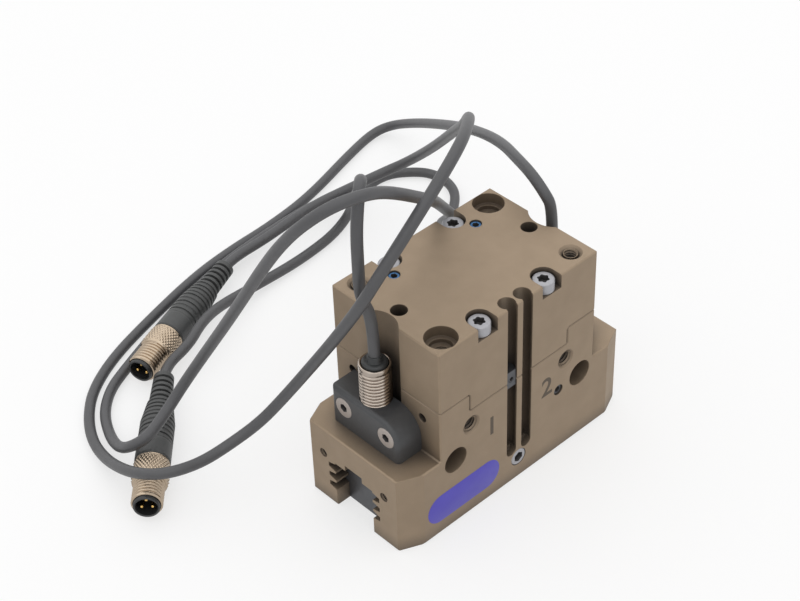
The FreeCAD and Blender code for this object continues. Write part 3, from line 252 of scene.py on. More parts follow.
@dataclass
class Skin:
    """The surfaces of one piece, gathered as arrays and made into one mesh object."""

    name: str
    points: list[np.ndarray] = field(default_factory=list)
    faces: list[list[int]] = field(default_factory=list)
    finishes: list[int] = field(default_factory=list)
    count: int = 0

    def add(self, grid: np.ndarray, place: Place, ends: Ends = Ends.POLES, recess: int = 0) -> Skin:
        """Add one grid, closed round its columns and at its ends.

        Args:
            grid: rows by columns by 3, the rows rising along the axis where the face looks outward.
            place: where the grid goes.
            ends: how the first and last row are closed.
            recess: how many of the last bands of faces take the second finish, a dark colour that paints the
                shade in a tool's recess.

        Returns:
            The skin itself.
        """
        rows, columns = grid.shape[:2]
        index = self.count + np.arange(rows * columns).reshape(rows, columns)
        flat = [grid.reshape(-1, 3)]
        if ends is Ends.LOOP:
            index = np.vstack([index, index[:1]])
        beside = np.roll(index, -1, axis=1)
        quads = np.stack([index[:-1], beside[:-1], beside[1:], index[1:]], axis=-1)
        self.faces += quads.reshape(-1, 4).tolist()
        shaded_bands = np.arange(len(quads)) >= len(quads) - recess
        self.finishes += np.repeat(shaded_bands, columns).astype(int).tolist()
        if ends is Ends.POLES:
            self.finishes += [0] * columns + [int(recess > 0)] * columns
            first = np.full(columns, self.count + rows * columns)
            self.faces += np.stack([first, beside[0], index[0]], axis=-1).tolist()
            self.faces += np.stack([first + 1, index[-1], beside[-1]], axis=-1).tolist()
            flat.append(grid[[0, -1]].mean(axis=1))
        self.points.append(place.apply(np.vstack(flat)))
        self.count += sum(len(part) for part in flat)
        return self

    def make(self, finish: Finishes, body: str, slot: str, *nodes: str, crease: float = CREASE
             ) -> bpy.types.Object:
        """Make the mesh and settle it as a piece, with what settle takes."""
        mesh = bpy.data.meshes.new(self.name)
        mesh.from_pydata(np.vstack(self.points).tolist(), [], self.faces)
        item = settle(self.name, mesh, finish, body, slot, *nodes, crease=crease)
        # faces inside tool recesses take a second, dark material that paints their shade
        if any(self.finishes):
            mesh.materials.append(Finishes.RECESS.material)
            mesh.polygons.foreach_set("material_index", self.finishes)
        return item


def settle(name: str, mesh: bpy.types.Mesh, finish: Finishes, body: str, slot: str, *nodes: str,
           crease: float = CREASE) -> bpy.types.Object:
    """Link a finished mesh as a piece of the object.

    Args:
        name: the piece's name.
        mesh: its mesh, in the shared frame.
        finish: its finish.
        body: the CAD body that it moves with.
        slot: the record's material slot; not used.
        nodes: CAD nodes that it stands for.
        crease: edges that turn by more degrees than this stay sharp.

    Returns:
        The linked object.
    """
    mesh.materials.append(finish.material)
    mesh.shade_smooth()
    mesh.set_sharp_from_angle(angle=math.radians(crease))
    item = bpy.data.objects.new(name, mesh)
    bpy.context.scene.collection.objects.link(item)
    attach(item, body)
    if nodes:
        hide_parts(*nodes)
    log.info("%s: %d faces on %s", name, len(mesh.polygons), body)
    return item


# ---------------------------------------------------------------- materials


def linear(colour: Rgb) -> tuple[float, float, float, float]:
    """An sRGB colour of 0 to 255 as the linear one that a socket takes."""
    share = np.array(colour, float) / 255.0
    value = np.where(share <= 0.04045, share / 12.92, ((share + 0.055) / 1.055) ** 2.4)
    return (*value.tolist(), 1.0)


@dataclass(frozen=True)
class Signal:
    """One output of a node, which adds a Math node for each sum that it is used in."""

    graph: Graph
    socket: bpy.types.NodeSocket

    def math(self, operation: str, first: Signal | float, second: Signal | float) -> Signal:
        """A Math node over two values."""
        return self.graph.node("ShaderNodeMath", {"operation": operation}, {0: first, 1: second})

    def __add__(self, other: Signal | float) -> Signal:
        """Sum."""
        return self.math("ADD", self, other)

    __radd__ = __add__

    def __mul__(self, other: Signal | float) -> Signal:
        """Product."""
        return self.math("MULTIPLY", self, other)

    __rmul__ = __mul__

    def __sub__(self, other: Signal | float) -> Signal:
        """Difference."""
        return self.math("SUBTRACT", self, other)

    def __rsub__(self, other: float) -> Signal:
        """Difference from a number."""
        return self.math("SUBTRACT", other, self)


@dataclass(frozen=True)
class Graph:
    """A node tree that nodes are added to."""

    tree: bpy.types.NodeTree

    def node(self, kind: str, settings: dict[str, object], inputs: dict[str | int, object],
             output: str | int = 0) -> Signal:
        """Add one node.

        Args:
            kind: the node's type.
            settings: its properties, set before its sockets.
            inputs: a value or a Signal for each named or numbered input.
            output: the output that is wanted.

        Returns:
            That output.
        """
        made = self.tree.nodes.new(kind)
        for name, value in settings.items():
            setattr(made, name, value)
        for key, value in inputs.items():
            if isinstance(value, Signal):
                self.tree.links.new(value.socket, made.inputs[key])
            else:
                made.inputs[key].default_value = value
        return Signal(self, made.outputs[output] if made.outputs else None)

    def noise(self, scale: float, detail: float = 4.0, stretch: Point = (1.0, 1.0, 1.0)) -> Signal:
        """Noise over object coordinates, with that many patches to the metre."""
        place = self.node("ShaderNodeTexCoord", {}, {}, "Object")
        place = self.node("ShaderNodeVectorMath", {"operation": "MULTIPLY"}, {0: place, 1: stretch})
        return self.node("ShaderNodeTexNoise", {}, {"Vector": place, "Scale": scale, "Detail": detail})

    def pits(self, scale: float) -> Signal:
        """Distance to the nearest of many scattered points, with that many to the metre."""
        place = self.node("ShaderNodeTexCoord", {}, {}, "Object")
        return self.node("ShaderNodeTexVoronoi", {}, {"Vector": place, "Scale": scale})

    def seen(self) -> Signal:
        """1 where the camera, a mirror or clear glass looks, 0 where only light falls."""
        direct, mirrored, through = (self.node("ShaderNodeLightPath", {}, {}, f"Is {kind} Ray")
                                     for kind in ("Camera", "Glossy", "Transmission"))
        return direct + mirrored + through

    def mix(self, share: Signal, low: tuple, high: tuple | Signal) -> Signal:
        """A colour between two by a share."""
        return self.node("ShaderNodeMix", {"data_type": "RGBA"}, {0: share, 6: low, 7: high}, 2)


@dataclass(frozen=True)
class Finish:
    """A surface whose colour, gloss and fine relief vary over it."""

    name: str
    colour: Rgb
    shade: Rgb
    roughness: float
    metallic: float = 0.0
    coat: float = 0.0
    patch: float = 400.0
    uneven: float = 0.12
    grain: float = 6000.0
    relief: float = 0.004
    stretch: Point = (1.0, 1.0, 1.0)
    gloss_patch: float = 2.3

    @property
    def label(self) -> str:
        """The material's name, apart from those of the CAD file."""
        return f"look_{self.name}"

    def hue(self, graph: Graph) -> Signal:
        """The two colours, mottled."""
        return graph.mix(graph.noise(self.patch), linear(self.colour), linear(self.shade))

    def height(self, graph: Graph) -> Signal:
        """The fine relief."""
        return graph.noise(self.grain, detail=3.0, stretch=self.stretch)

    def edges(self, graph: Graph) -> dict[str, Signal]:
        """What the relief stands on, where that isn't the plain surface."""
        return {}

    def cover(self, graph: Graph, surface: Signal) -> Signal:
        """The surface as it is shown."""
        return surface

    def build(self) -> bpy.types.Material:
        """Make the material: a Principled surface with mottled colour, uneven gloss and a bump.

        Returns:
            The material.
        """
        material = bpy.data.materials.new(self.label)
        material.use_nodes = True
        material.node_tree.nodes.clear()
        graph = Graph(material.node_tree)
        bump = graph.node("ShaderNodeBump", {}, {
            "Strength": 1.0, "Distance": self.relief * MM, "Height": self.height(graph), **self.edges(graph)})
        gloss = graph.noise(self.patch * self.gloss_patch) - 0.5
        surface = graph.node("ShaderNodeBsdfPrincipled", {}, {
            "Base Color": self.hue(graph),
            "Roughness": self.roughness + self.uneven * gloss,
            "Metallic": self.metallic, "Coat Weight": self.coat, "Normal": bump})
        graph.node("ShaderNodeOutputMaterial", {}, {"Surface": self.cover(graph, surface)})
        material.diffuse_color = linear(self.colour)
        return material


@dataclass(frozen=True)
class Anodised(Finish):
    """Hard-anodised aluminium: faint milling lines under a fine grain, with painted shade that darkens slots
    and holes.
    """

    mill: float = 900.0
    mill_share: float = 0.8
    edge: float = 0.3
    edge_samples: int = 6
    # painted shade: the colour that ambient occlusion mixes in within slots, holes and corners, out to the
    # reach below
    deep: Rgb = (62, 60, 60)
    shade_reach: float = 5.0
    shade_samples: int = 8

    def hue(self, graph: Graph) -> Signal:
        """The mottled colour with painted shade: darker where neighbouring walls leave little of the room
        open.
        """
        clear = graph.node("ShaderNodeAmbientOcclusion", {"samples": self.shade_samples},
                           {"Distance": self.shade_reach * MM}, "AO")
        return graph.mix(clear, linear(self.deep), super().hue(graph))

    def edges(self, graph: Graph) -> dict[str, Signal]:
        """Edges broken by the finish: normals that turn over a small radius."""
        return {"Normal": graph.node("ShaderNodeBevel", {"samples": self.edge_samples},
                                     {"Radius": self.edge * MM})}

    def height(self, graph: Graph) -> Signal:
        """Grain plus long drawn-out milling marks."""
        marks = graph.noise(self.mill, detail=2.0, stretch=self.stretch)
        return graph.noise(self.grain, detail=3.0) + self.mill_share * marks


@dataclass(frozen=True)
class Backdrop(Finish):
    """A white table that shows part of its white by itself, so that shadows on it stay light."""

    glow: float = 0.65

    def cover(self, graph: Graph, surface: Signal) -> Signal:
        """The surface mixed with plain white where the camera or a mirror sees it."""
        white = graph.node("ShaderNodeEmission", {}, {"Color": (1, 1, 1, 1), "Strength": 1.0})
        return graph.node("ShaderNodeMixShader", {}, {0: self.glow * graph.seen(), 1: surface, 2: white})


@dataclass(frozen=True)
class Moulded(Finish):
    """Spark-eroded moulding: small pits all over."""

    ripple: float = 0.3
    ripple_scale: float = 0.5

    def height(self, graph: Graph) -> Signal:
        """Distance to the nearest pit, with a little noise."""
        return graph.pits(self.grain) + self.ripple * graph.noise(self.grain * self.ripple_scale, detail=2.0)


class Finishes(Enum):
    """Every finish of the object."""

    ANODISED = Anodised("anodised", (159, 141, 120), (144, 127, 107), 0.58, 0.7, patch=160.0,
                        stretch=(1.0, 14.0, 14.0))
    STEEL = Finish("zinc_steel", (174, 174, 178), (158, 158, 162), 0.48, 0.4, patch=900.0)
    FLAT_STEEL = Finish("flat_steel", (186, 177, 171), (168, 160, 154), 0.42, 0.6, patch=900.0)
    # painted shade: a dark colour for the faces inside the tool recesses of screws
    RECESS = Finish("recess_painted_shade", (74, 72, 72), (60, 58, 58), 0.6, 0.4, patch=1500.0)
    DARK_STEEL = Finish("dark_steel", (92, 93, 96), (78, 79, 82), 0.42, 0.7, stretch=(0.15, 1.0, 1.0))
    PISTON = Finish("piston_metal", (150, 150, 152), (138, 138, 140), 0.35, 0.9)
    MAGNET = Finish("magnet", (60, 60, 62), (50, 50, 52), 0.5, 0.3)
    BRONZE = Finish("bronze", (168, 128, 78), (150, 112, 66), 0.4, 0.8)
    SEAL = Moulded("seal", (34, 34, 35), (28, 28, 29), 0.6)
    BRACKET = Moulded("bracket", (68, 69, 71), (58, 59, 61), 0.45, patch=700.0, grain=5200.0, relief=0.012)
    NICKEL = Finish("nickel", (178, 168, 158), (156, 144, 134), 0.2, 1.0, patch=700.0, relief=0.001)
    RING = Finish("ring_nickel", (188, 172, 152), (158, 141, 122), 0.2, 1.0, patch=700.0, relief=0.001)
    SENSOR_PLASTIC = Moulded("sensor_plastic", (48, 50, 51), (42, 44, 45), 0.42)
    PLUG_PLASTIC = Moulded("plug_plastic", (70, 71, 71), (60, 61, 61), 0.5, patch=500.0, grain=4500.0,
                           relief=0.01)
    INSERT = Moulded("insert_plastic", (44, 45, 46), (36, 37, 38), 0.4)
    GOLD = Finish("gold", (222, 186, 118), (206, 166, 96), 0.22, 1.0, relief=0.001)
    LEAD = Finish("lead_jacket", (82, 82, 84), (74, 74, 76), 0.46, patch=300.0, grain=2600.0, relief=0.01)
    LOCK_BLUE = Finish("thread_lock", (58, 116, 168), (44, 88, 132), 0.4, 0.3, patch=1600.0)
    STICKER = Finish("sticker", (84, 76, 186), (76, 68, 174), 0.5, coat=0.05, patch=200.0, relief=0.001)
    MARK = Finish("engraved", (92, 80, 68), (80, 70, 58), 0.7, patch=900.0)

    @property
    def material(self) -> bpy.types.Material:
        """The finish's material, made at its first use."""
        return bpy.data.materials.get(self.value.label) or self.value.build()


# ---------------------------------------------------------------- sub-assemblies


@dataclass(frozen=True)
class Camera:
    """The photo's view, fitted to the body's edges."""

    position: Point = (-0.24824, -0.25125, 0.34599)
    azimuth: float = -42.095
    elevation: float = 40.224
    roll: float = -2.177
    lens: float = 86.89
    sensor: float = 36.0

    def build(self) -> None:
        """Make the camera and set it as the scene's."""
        turn, rise, roll = (math.radians(angle) for angle in (self.azimuth, self.elevation, self.roll))
        back = np.array((math.sin(turn) * math.cos(rise), -math.cos(turn) * math.cos(rise), math.sin(rise)))
        level = np.array((math.cos(turn), math.sin(turn), 0.0))
        over = np.cross(back, level)
        right = math.cos(roll) * level + math.sin(roll) * over
        up = -math.sin(roll) * level + math.cos(roll) * over
        matrix = np.eye(4)
        matrix[:3] = np.stack([right, up, back, np.array(self.position)], axis=-1)
        camera = bpy.data.cameras.new("camera")
        camera.sensor_width, camera.lens = self.sensor, self.lens
        item = bpy.data.objects.new("camera", camera)
        item.matrix_world = Matrix(matrix.tolist())
        bpy.context.scene.collection.objects.link(item)
        bpy.context.scene.camera = item


@dataclass(frozen=True)
class Studio:
    """White table and backdrop with one broad lamp above."""

    ambient: float = 0.54
    sun: float = 1.5
    sun_spread: float = 120.0
    sun_from: Point = (-0.05, 0.05, 1.0)
    table: float = 4.0
    drop: float = 0.05

    def build(self) -> None:
        """Make the table, the lamp and the world, and set plain colours."""
        scene = bpy.context.scene
        scene.view_settings.view_transform = "Standard"
        mesh = bpy.data.meshes.new("table")
        corners = np.array([(-1, -1), (1, -1), (1, 1), (-1, 1)]) * self.table / 2
        mesh.from_pydata(np.column_stack([corners, np.full(4, -self.drop * MM)]).tolist(), [], [[0, 1, 2, 3]])
        white = Backdrop("table", (250, 250, 250), (247, 247, 247), 0.9, patch=3.0, relief=0.0)
        mesh.materials.append(white.build())
        table = bpy.data.objects.new("table", mesh)
        lamp = bpy.data.lights.new("sun", "SUN")
        lamp.energy, lamp.angle = self.sun, math.radians(self.sun_spread)
        sun = bpy.data.objects.new("sun", lamp)
        sun.matrix_world = Matrix(np.block([[Place((0, 0, 0), self.sun_from).basis().T, np.zeros((3, 1))],
                                            [np.zeros((1, 3)), np.ones((1, 1))]]).tolist())
        for item in (table, sun):
            scene.collection.objects.link(item)
        self.build_world(scene)

    def build_world(self, scene: bpy.types.Scene) -> None:
        """White where the camera or a mirror sees it, grey where it lights."""
        world = bpy.data.worlds.new("studio")
        world.use_nodes = True
        world.node_tree.nodes.clear()
        scene.world = world
        graph = Graph(world.node_tree)
        glow = graph.node("ShaderNodeBackground", {}, {"Color": (1, 1, 1, 1), "Strength": self.ambient})
        white = graph.node("ShaderNodeBackground", {}, {"Color": (1, 1, 1, 1), "Strength": 1.0})
        both = graph.node("ShaderNodeMixShader", {}, {0: graph.seen(), 1: glow, 2: white})
        graph.node("ShaderNodeOutputWorld", {}, {"Surface": both})


@dataclass(frozen=True)
class Lead:
    """One sensor lead: the control points of its line and what it hangs on."""

    side: Side
    corners: tuple[Point, ...]
    length: float
    start: Point
    end: Point
    aim: Point
    diameter: float = 2.9
    rise: float = 11.4
    run_out: float = 4.2
    order: int = 3
    steps: int = 8
    round_steps: int = 5

    def build(self) -> bpy.types.Object:
        """Make the line as a NURBS curve with a round bevel.

        Returns:
            The curve object.
        """
        start, end = np.array(self.start), np.array(self.end)
        aim = np.array(self.aim) / np.linalg.norm(self.aim)
        route = np.vstack([start, start + (0, 0, self.rise), self.corners,
                           end + aim * self.run_out, end]) * MM
        curve = bpy.data.curves.new(f"lead_{self.side.value}_line", "CURVE")
        curve.dimensions = "3D"
        curve.bevel_depth = self.diameter / 2 * MM
        curve.bevel_resolution = self.round_steps
        curve.use_fill_caps = True
        spline = curve.splines.new("NURBS")
        spline.points.add(len(route) - 1)
        spline.points.foreach_set("co", np.column_stack([route, np.ones(len(route))]).ravel())
        spline.order_u = self.order
        spline.use_endpoint_u = True
        spline.resolution_u = self.steps
        curve.materials.append(Finishes.LEAD.material)
        item = bpy.data.objects.new(f"lead_{self.side.value}_line", curve)
        bpy.context.scene.collection.objects.link(item)
        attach(item, "body")
        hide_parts(f"lead_{self.side.value}")
        log.info("%s: %d points", item.name, len(route))
        return item

    def declare(self, item: bpy.types.Object, pieces: list[bpy.types.Object]) -> None:
        """Reckon the lead's diameter in metres, and do nothing more."""
        self.diameter * MM


@dataclass(frozen=True)
class Sensor:
    """The threaded barrel and the cap of one sensor."""

    side: Side
    axis: tuple[float, float] = (29.2, -0.8)
    low: float = 17.1
    top: float = 45.2
    radius: float = 4.0
    bore: float = 3.2
    rim: float = 1.3
    pitch: float = 1.0
    thread_depth: float = 0.55
    cap_depth: float = 5.0
    shoulder: float = 46.0
    outlet: float = 1.8
    outlet_top: float = 47.6
    lead_hole: float = 1.46
    chamfer: float = 0.3
    bevel: float = 0.25
    rim_round: float = 0.35
    cap_gap: float = 0.02
    cap_round: float = 0.7
    columns: int = 56

    @property
    def lead_exit(self) -> Point:
        """Where the lead leaves the cap."""
        return (self.side.sign * self.axis[0], self.side.sign * self.axis[1], self.outlet_top)

    def build(self) -> None:
        """Make the barrel as a closed tube and the cap as a turned piece."""
        word = self.side.value
        place = Place((*self.lead_exit[:2], 0.0))
        angles = ring_angles(self.columns)
        thread = Thread(self.radius, self.thread_depth, self.pitch, self.low + self.chamfer,
                        self.top - self.rim)
        rows = thread.heights()
        mouth = [(self.bore + self.bevel, self.top), (self.bore, self.top - self.bevel),
                 (self.bore, self.low)]
        wall = np.vstack([
            turned(np.array([self.radius - self.chamfer]), np.array([self.low]), angles),
            turned(thread.radius(rows, angles), rows, angles),
            lathe(round_edge(self.radius, self.top, self.rim_round), self.columns),
            lathe(mouth, self.columns)])
        Skin(f"sensor_thread_{word}").add(wall, place, Ends.LOOP).make(
            Finishes.NICKEL, "body", "nickel", f"sensor_barrel_{word}", crease=FINE_CREASE)
        fit = self.bore - self.cap_gap
        cap = [(fit, self.top - self.cap_depth), (fit, self.top),
               *round_edge(fit, self.shoulder, self.cap_round),
               (self.outlet + self.bevel, self.shoulder), (self.outlet, self.shoulder + self.rim_round),
               *round_edge(self.outlet, self.outlet_top, self.chamfer), (self.lead_hole, self.outlet_top)]
        Skin(f"sensor_gland_{word}").add(lathe(cap, self.columns), place).make(
            Finishes.SENSOR_PLASTIC, "body", "sensor_plastic", f"sensor_cap_{word}")


@dataclass(frozen=True)
class Plug:
    """One plug on a lead: insert, pins, turning ring and moulded grip, measured from its tip."""

    side: Side
    tip: Point
    towards: Point
    insert_radius: float = 3.4
    insert_length: float = 7.5
    insert_round: float = 0.4
    insert_columns: int = 48
    cup_radius: float = 2.8
    cup_depth: float = 5.0
    cup_lip: float = 0.2
    pin_radius: float = 0.5
    pin_length: float = 4.0
    pin_round: float = 0.4
    pin_circle: float = 1.6
    pin_turns: tuple[float, ...] = (0.25, 0.25 + 1 / 3, 0.25 + 2 / 3)
    pin_columns: int = 20
    ring_bore: float = 3.55
    thread_radius: float = 4.0
    thread_depth: float = 0.5
    thread_pitch: float = 1.0
    thread_fade: float = 0.5
    thread_low: float = 1.1
    thread_high: float = 8.0
    tip_taper: tuple[float, float] = (0.35, 0.3)
    knurl_radius: float = 4.8
    knurl_depth: float = 0.42
    knurl_high: float = 15.0
    knurl_plain: tuple[float, float] = (0.5, 0.3)
    knurl_starts: int = 30
    columns_per_start: int = 6
    shoulder_inset: float = 0.5
    shoulder_rise: float = 0.05
    edge_inset: float = 0.3
    edge_rises: tuple[float, float] = (0.2, 0.15)
    grip_low: float = 15.15
    grip_high: float = 29.15
    grip_radius: float = 4.6
    taper_high: float = 36.15
    taper_radius: float = 3.5
    relief_radii: tuple[float, float] = (3.1, 2.7)
    tail: float = 47.15
    grip_round: float = 0.4
    grip_fall: float = 0.1
    relief_step: float = 0.3
    groove_low: float = 20.5
    groove_ramp: float = 2.0
    groove_depth: float = 0.3
    groove_period: float = 1.6
    slit_first: float = 1.2
    slit_depth: float = 0.95
    slit_period: float = 1.9
    slit_end: float = 0.8
    slit_share: float = 0.4
    grip_rows: int = 330
    grip_columns: int = 56

    @property
    def place(self) -> Place:
        """The plug's axis, from its tip towards the lead."""
        return Place(self.tip, tuple(np.array(self.towards) - np.array(self.tip)))

    @property
    def end(self) -> Point:
        """Where the lead enters the grip."""
        return self.place.along(self.tail).origin

    def build(self) -> list[bpy.types.Object]:
        """Make the plug's pieces.

        Returns:
            Every piece of the plug.
        """
        return [self.build_insert(), self.build_pins(), self.build_ring(), self.build_grip()]

    def build_insert(self) -> bpy.types.Object:
        """A cup: from the back over the rounded rim down to its floor."""
        rim = [(radius, -height) for radius, height in round_edge(self.insert_radius, 0.0, self.insert_round)]
        cup = [(self.cup_radius + self.cup_lip, 0.0), (self.cup_radius, self.cup_lip),
               (self.cup_radius, self.cup_depth)]
        profile = [(self.insert_radius, self.insert_length), *rim, *cup]
        grid = lathe(profile, self.insert_columns)[:, ::-1]
        return Skin(f"plug_cup_{self.side.value}").add(grid, self.place).make(
            Finishes.INSERT, "body", "plug_plastic", f"plug_insert_{self.side.value}")

    def build_pins(self) -> bpy.types.Object:
        """Three pins with round tips, standing on the cup's floor."""
        skin = Skin(f"plug_contacts_{self.side.value}")
        profile = [(self.pin_radius, 0.0), *round_edge(self.pin_radius, self.pin_length, self.pin_round)]
        side, up, forward = self.place.basis()
        for turn in self.pin_turns:
            out = self.pin_circle * (math.cos(TURN * turn) * side + math.sin(TURN * turn) * up)
            foot = np.array(self.tip) + forward * self.cup_depth + out
            skin.add(lathe(profile, self.pin_columns), Place(tuple(foot), tuple(-forward)))
        return skin.make(Finishes.GOLD, "body", "gold", f"plug_pins_{self.side.value}")

    def build_ring(self) -> bpy.types.Object:
        """A closed tube: thread, shoulder, knurl, and back along the bore."""
        angles = ring_angles(self.columns_per_start * self.knurl_starts)
        thread = Thread(self.thread_radius, self.thread_depth, self.thread_pitch,
                        self.thread_low + self.tip_taper[1], self.thread_high, self.thread_fade)
        knurl = Knurl(self.knurl_radius, self.knurl_depth, self.knurl_starts,
                      self.thread_high + self.knurl_plain[0], self.knurl_high - self.knurl_plain[1])
        low, high = thread.heights(), knurl.heights()
        shoulder, edge = self.knurl_radius - self.shoulder_inset, self.knurl_radius - self.edge_inset
        front = [(shoulder, self.thread_high + self.shoulder_rise),
                 (edge, self.thread_high + self.edge_rises[0])]
        back = [(edge, self.knurl_high - self.edge_rises[1]), (shoulder, self.knurl_high),
                (self.ring_bore, self.knurl_high), (self.ring_bore, self.thread_low)]
        wall = np.vstack([
            turned(np.array([self.thread_radius - self.tip_taper[0]]), np.array([self.thread_low]), angles),
            turned(thread.radius(low, angles), low, angles), lathe(front, len(angles)),
            turned(knurl.radius(high, angles), high, angles), lathe(back, len(angles))])
        return Skin(f"plug_nut_{self.side.value}").add(wall, self.place, Ends.LOOP).make(
            Finishes.RING, f"{self.side.value}_plug_ring", "nickel", f"plug_ring_{self.side.value}",
            crease=FINE_CREASE)

    def build_grip(self) -> bpy.types.Object:
        """The turned grip, its radius dipping in shallow grooves and then, near the lead, in deep slits."""
        height = np.linspace(self.grip_low, self.tail, self.grip_rows)
        outline = np.interp(
            height,
            [self.grip_low, self.grip_low + self.grip_round, self.grip_high, self.taper_high,
             self.taper_high + self.relief_step, self.tail - self.relief_step, self.tail],
            [self.grip_radius - self.grip_round, self.grip_radius, self.grip_radius - self.grip_fall,
             self.taper_radius, *self.relief_radii, self.relief_radii[1] - self.relief_step])
        ramp = np.clip((height - self.groove_low) / self.groove_ramp, 0, 1)
        fine = self.groove_depth * ramp * (height < self.taper_high)
        strong = self.slit_depth * (height >= self.taper_high) * (height < self.tail - self.slit_end)
        behind = height - self.taper_high - self.slit_first
        groove = (slits(height / self.groove_period, self.slit_share) * fine
                  + slits(behind / self.slit_period, self.slit_share) * strong)
        grid = turned(outline - groove, height, ring_angles(self.grip_columns))
        return Skin(f"plug_sleeve_{self.side.value}").add(grid, self.place).make(
            Finishes.PLUG_PLASTIC, "body", "plug_plastic", f"plug_grip_{self.side.value}",
            crease=GRIP_CREASE)


@dataclass(frozen=True)
class Spring:
    """One closing spring, which the rising piston shortens against the cover."""

    side: Side
    offset: float = 8.2
    coil_radius: float = 3.3
    wire_radius: float = 0.6
    low: float = 29.0
    high: float = 52.0
    stroke: float = 5.7
    turns: int = 6
    rows_per_turn: int = 48
    columns: int = 14

    def grid(self) -> np.ndarray:
        """A tube round a helix: the helix's point plus the wire's radius outward and upright."""
        turn = np.linspace(0.0, TURN * self.turns, self.turns * self.rows_per_turn + 1)[:, None]
        round_wire = ring_angles(self.columns)
        out = self.coil_radius + self.wire_radius * np.cos(round_wire)
        ends = (self.low + self.wire_radius, self.high - self.wire_radius)
        middle = np.interp(turn, turn[[0, -1], 0], ends)
        rise = middle - self.wire_radius * np.sin(round_wire)
        return np.stack([out * np.cos(turn), out * np.sin(turn), rise], axis=-1)

    def build(self) -> None:
        """Make the spring, then give it a mesh of its own."""
        spot = (self.side.sign * self.offset, 0.0, 0.0)
        item = Skin(f"spring_coil_{self.side.value}").add(self.grid(), Place(spot)).make(
            Finishes.STEEL, "body", "steel", f"spring_{self.side.value}")
        length = self.high - self.low
        self.high * MM
        (length - self.stroke) / length
        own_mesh(item)


@dataclass(frozen=True)
class Screw:
    """A screw or plug: a turned outline that ends in a tool's recess."""

    outline: tuple[tuple[float, float], ...]
    top: float
    drive: Drive
    drive_width: float
    drive_depth: float
    columns: int = 72
    # bands of the recess that take the dark material painting its shade
    recess: int = 3
    mouth_scale: float = 1.06
    mouth_depth: float = 0.12
    floor_scale: float = 0.6
    floor_fall: float = 0.25

    def grid(self) -> np.ndarray:
        """Rows of the outline from its foot to its top, then of the recess down to its floor."""
        angles = ring_angles(self.columns)
        hole = self.drive.outline(self.drive_width, angles)
        outer = turned(np.array(self.outline)[:, 0], np.array(self.outline)[:, 1], angles)
        scale = np.array([self.mouth_scale, 1.0, 1.0, self.floor_scale])[:, None]
        depth = self.top - np.array([0.0, self.mouth_depth, self.drive_depth,
                                     self.drive_depth + self.floor_fall])
        return np.vstack([outer, turned(hole * scale, depth, angles)])


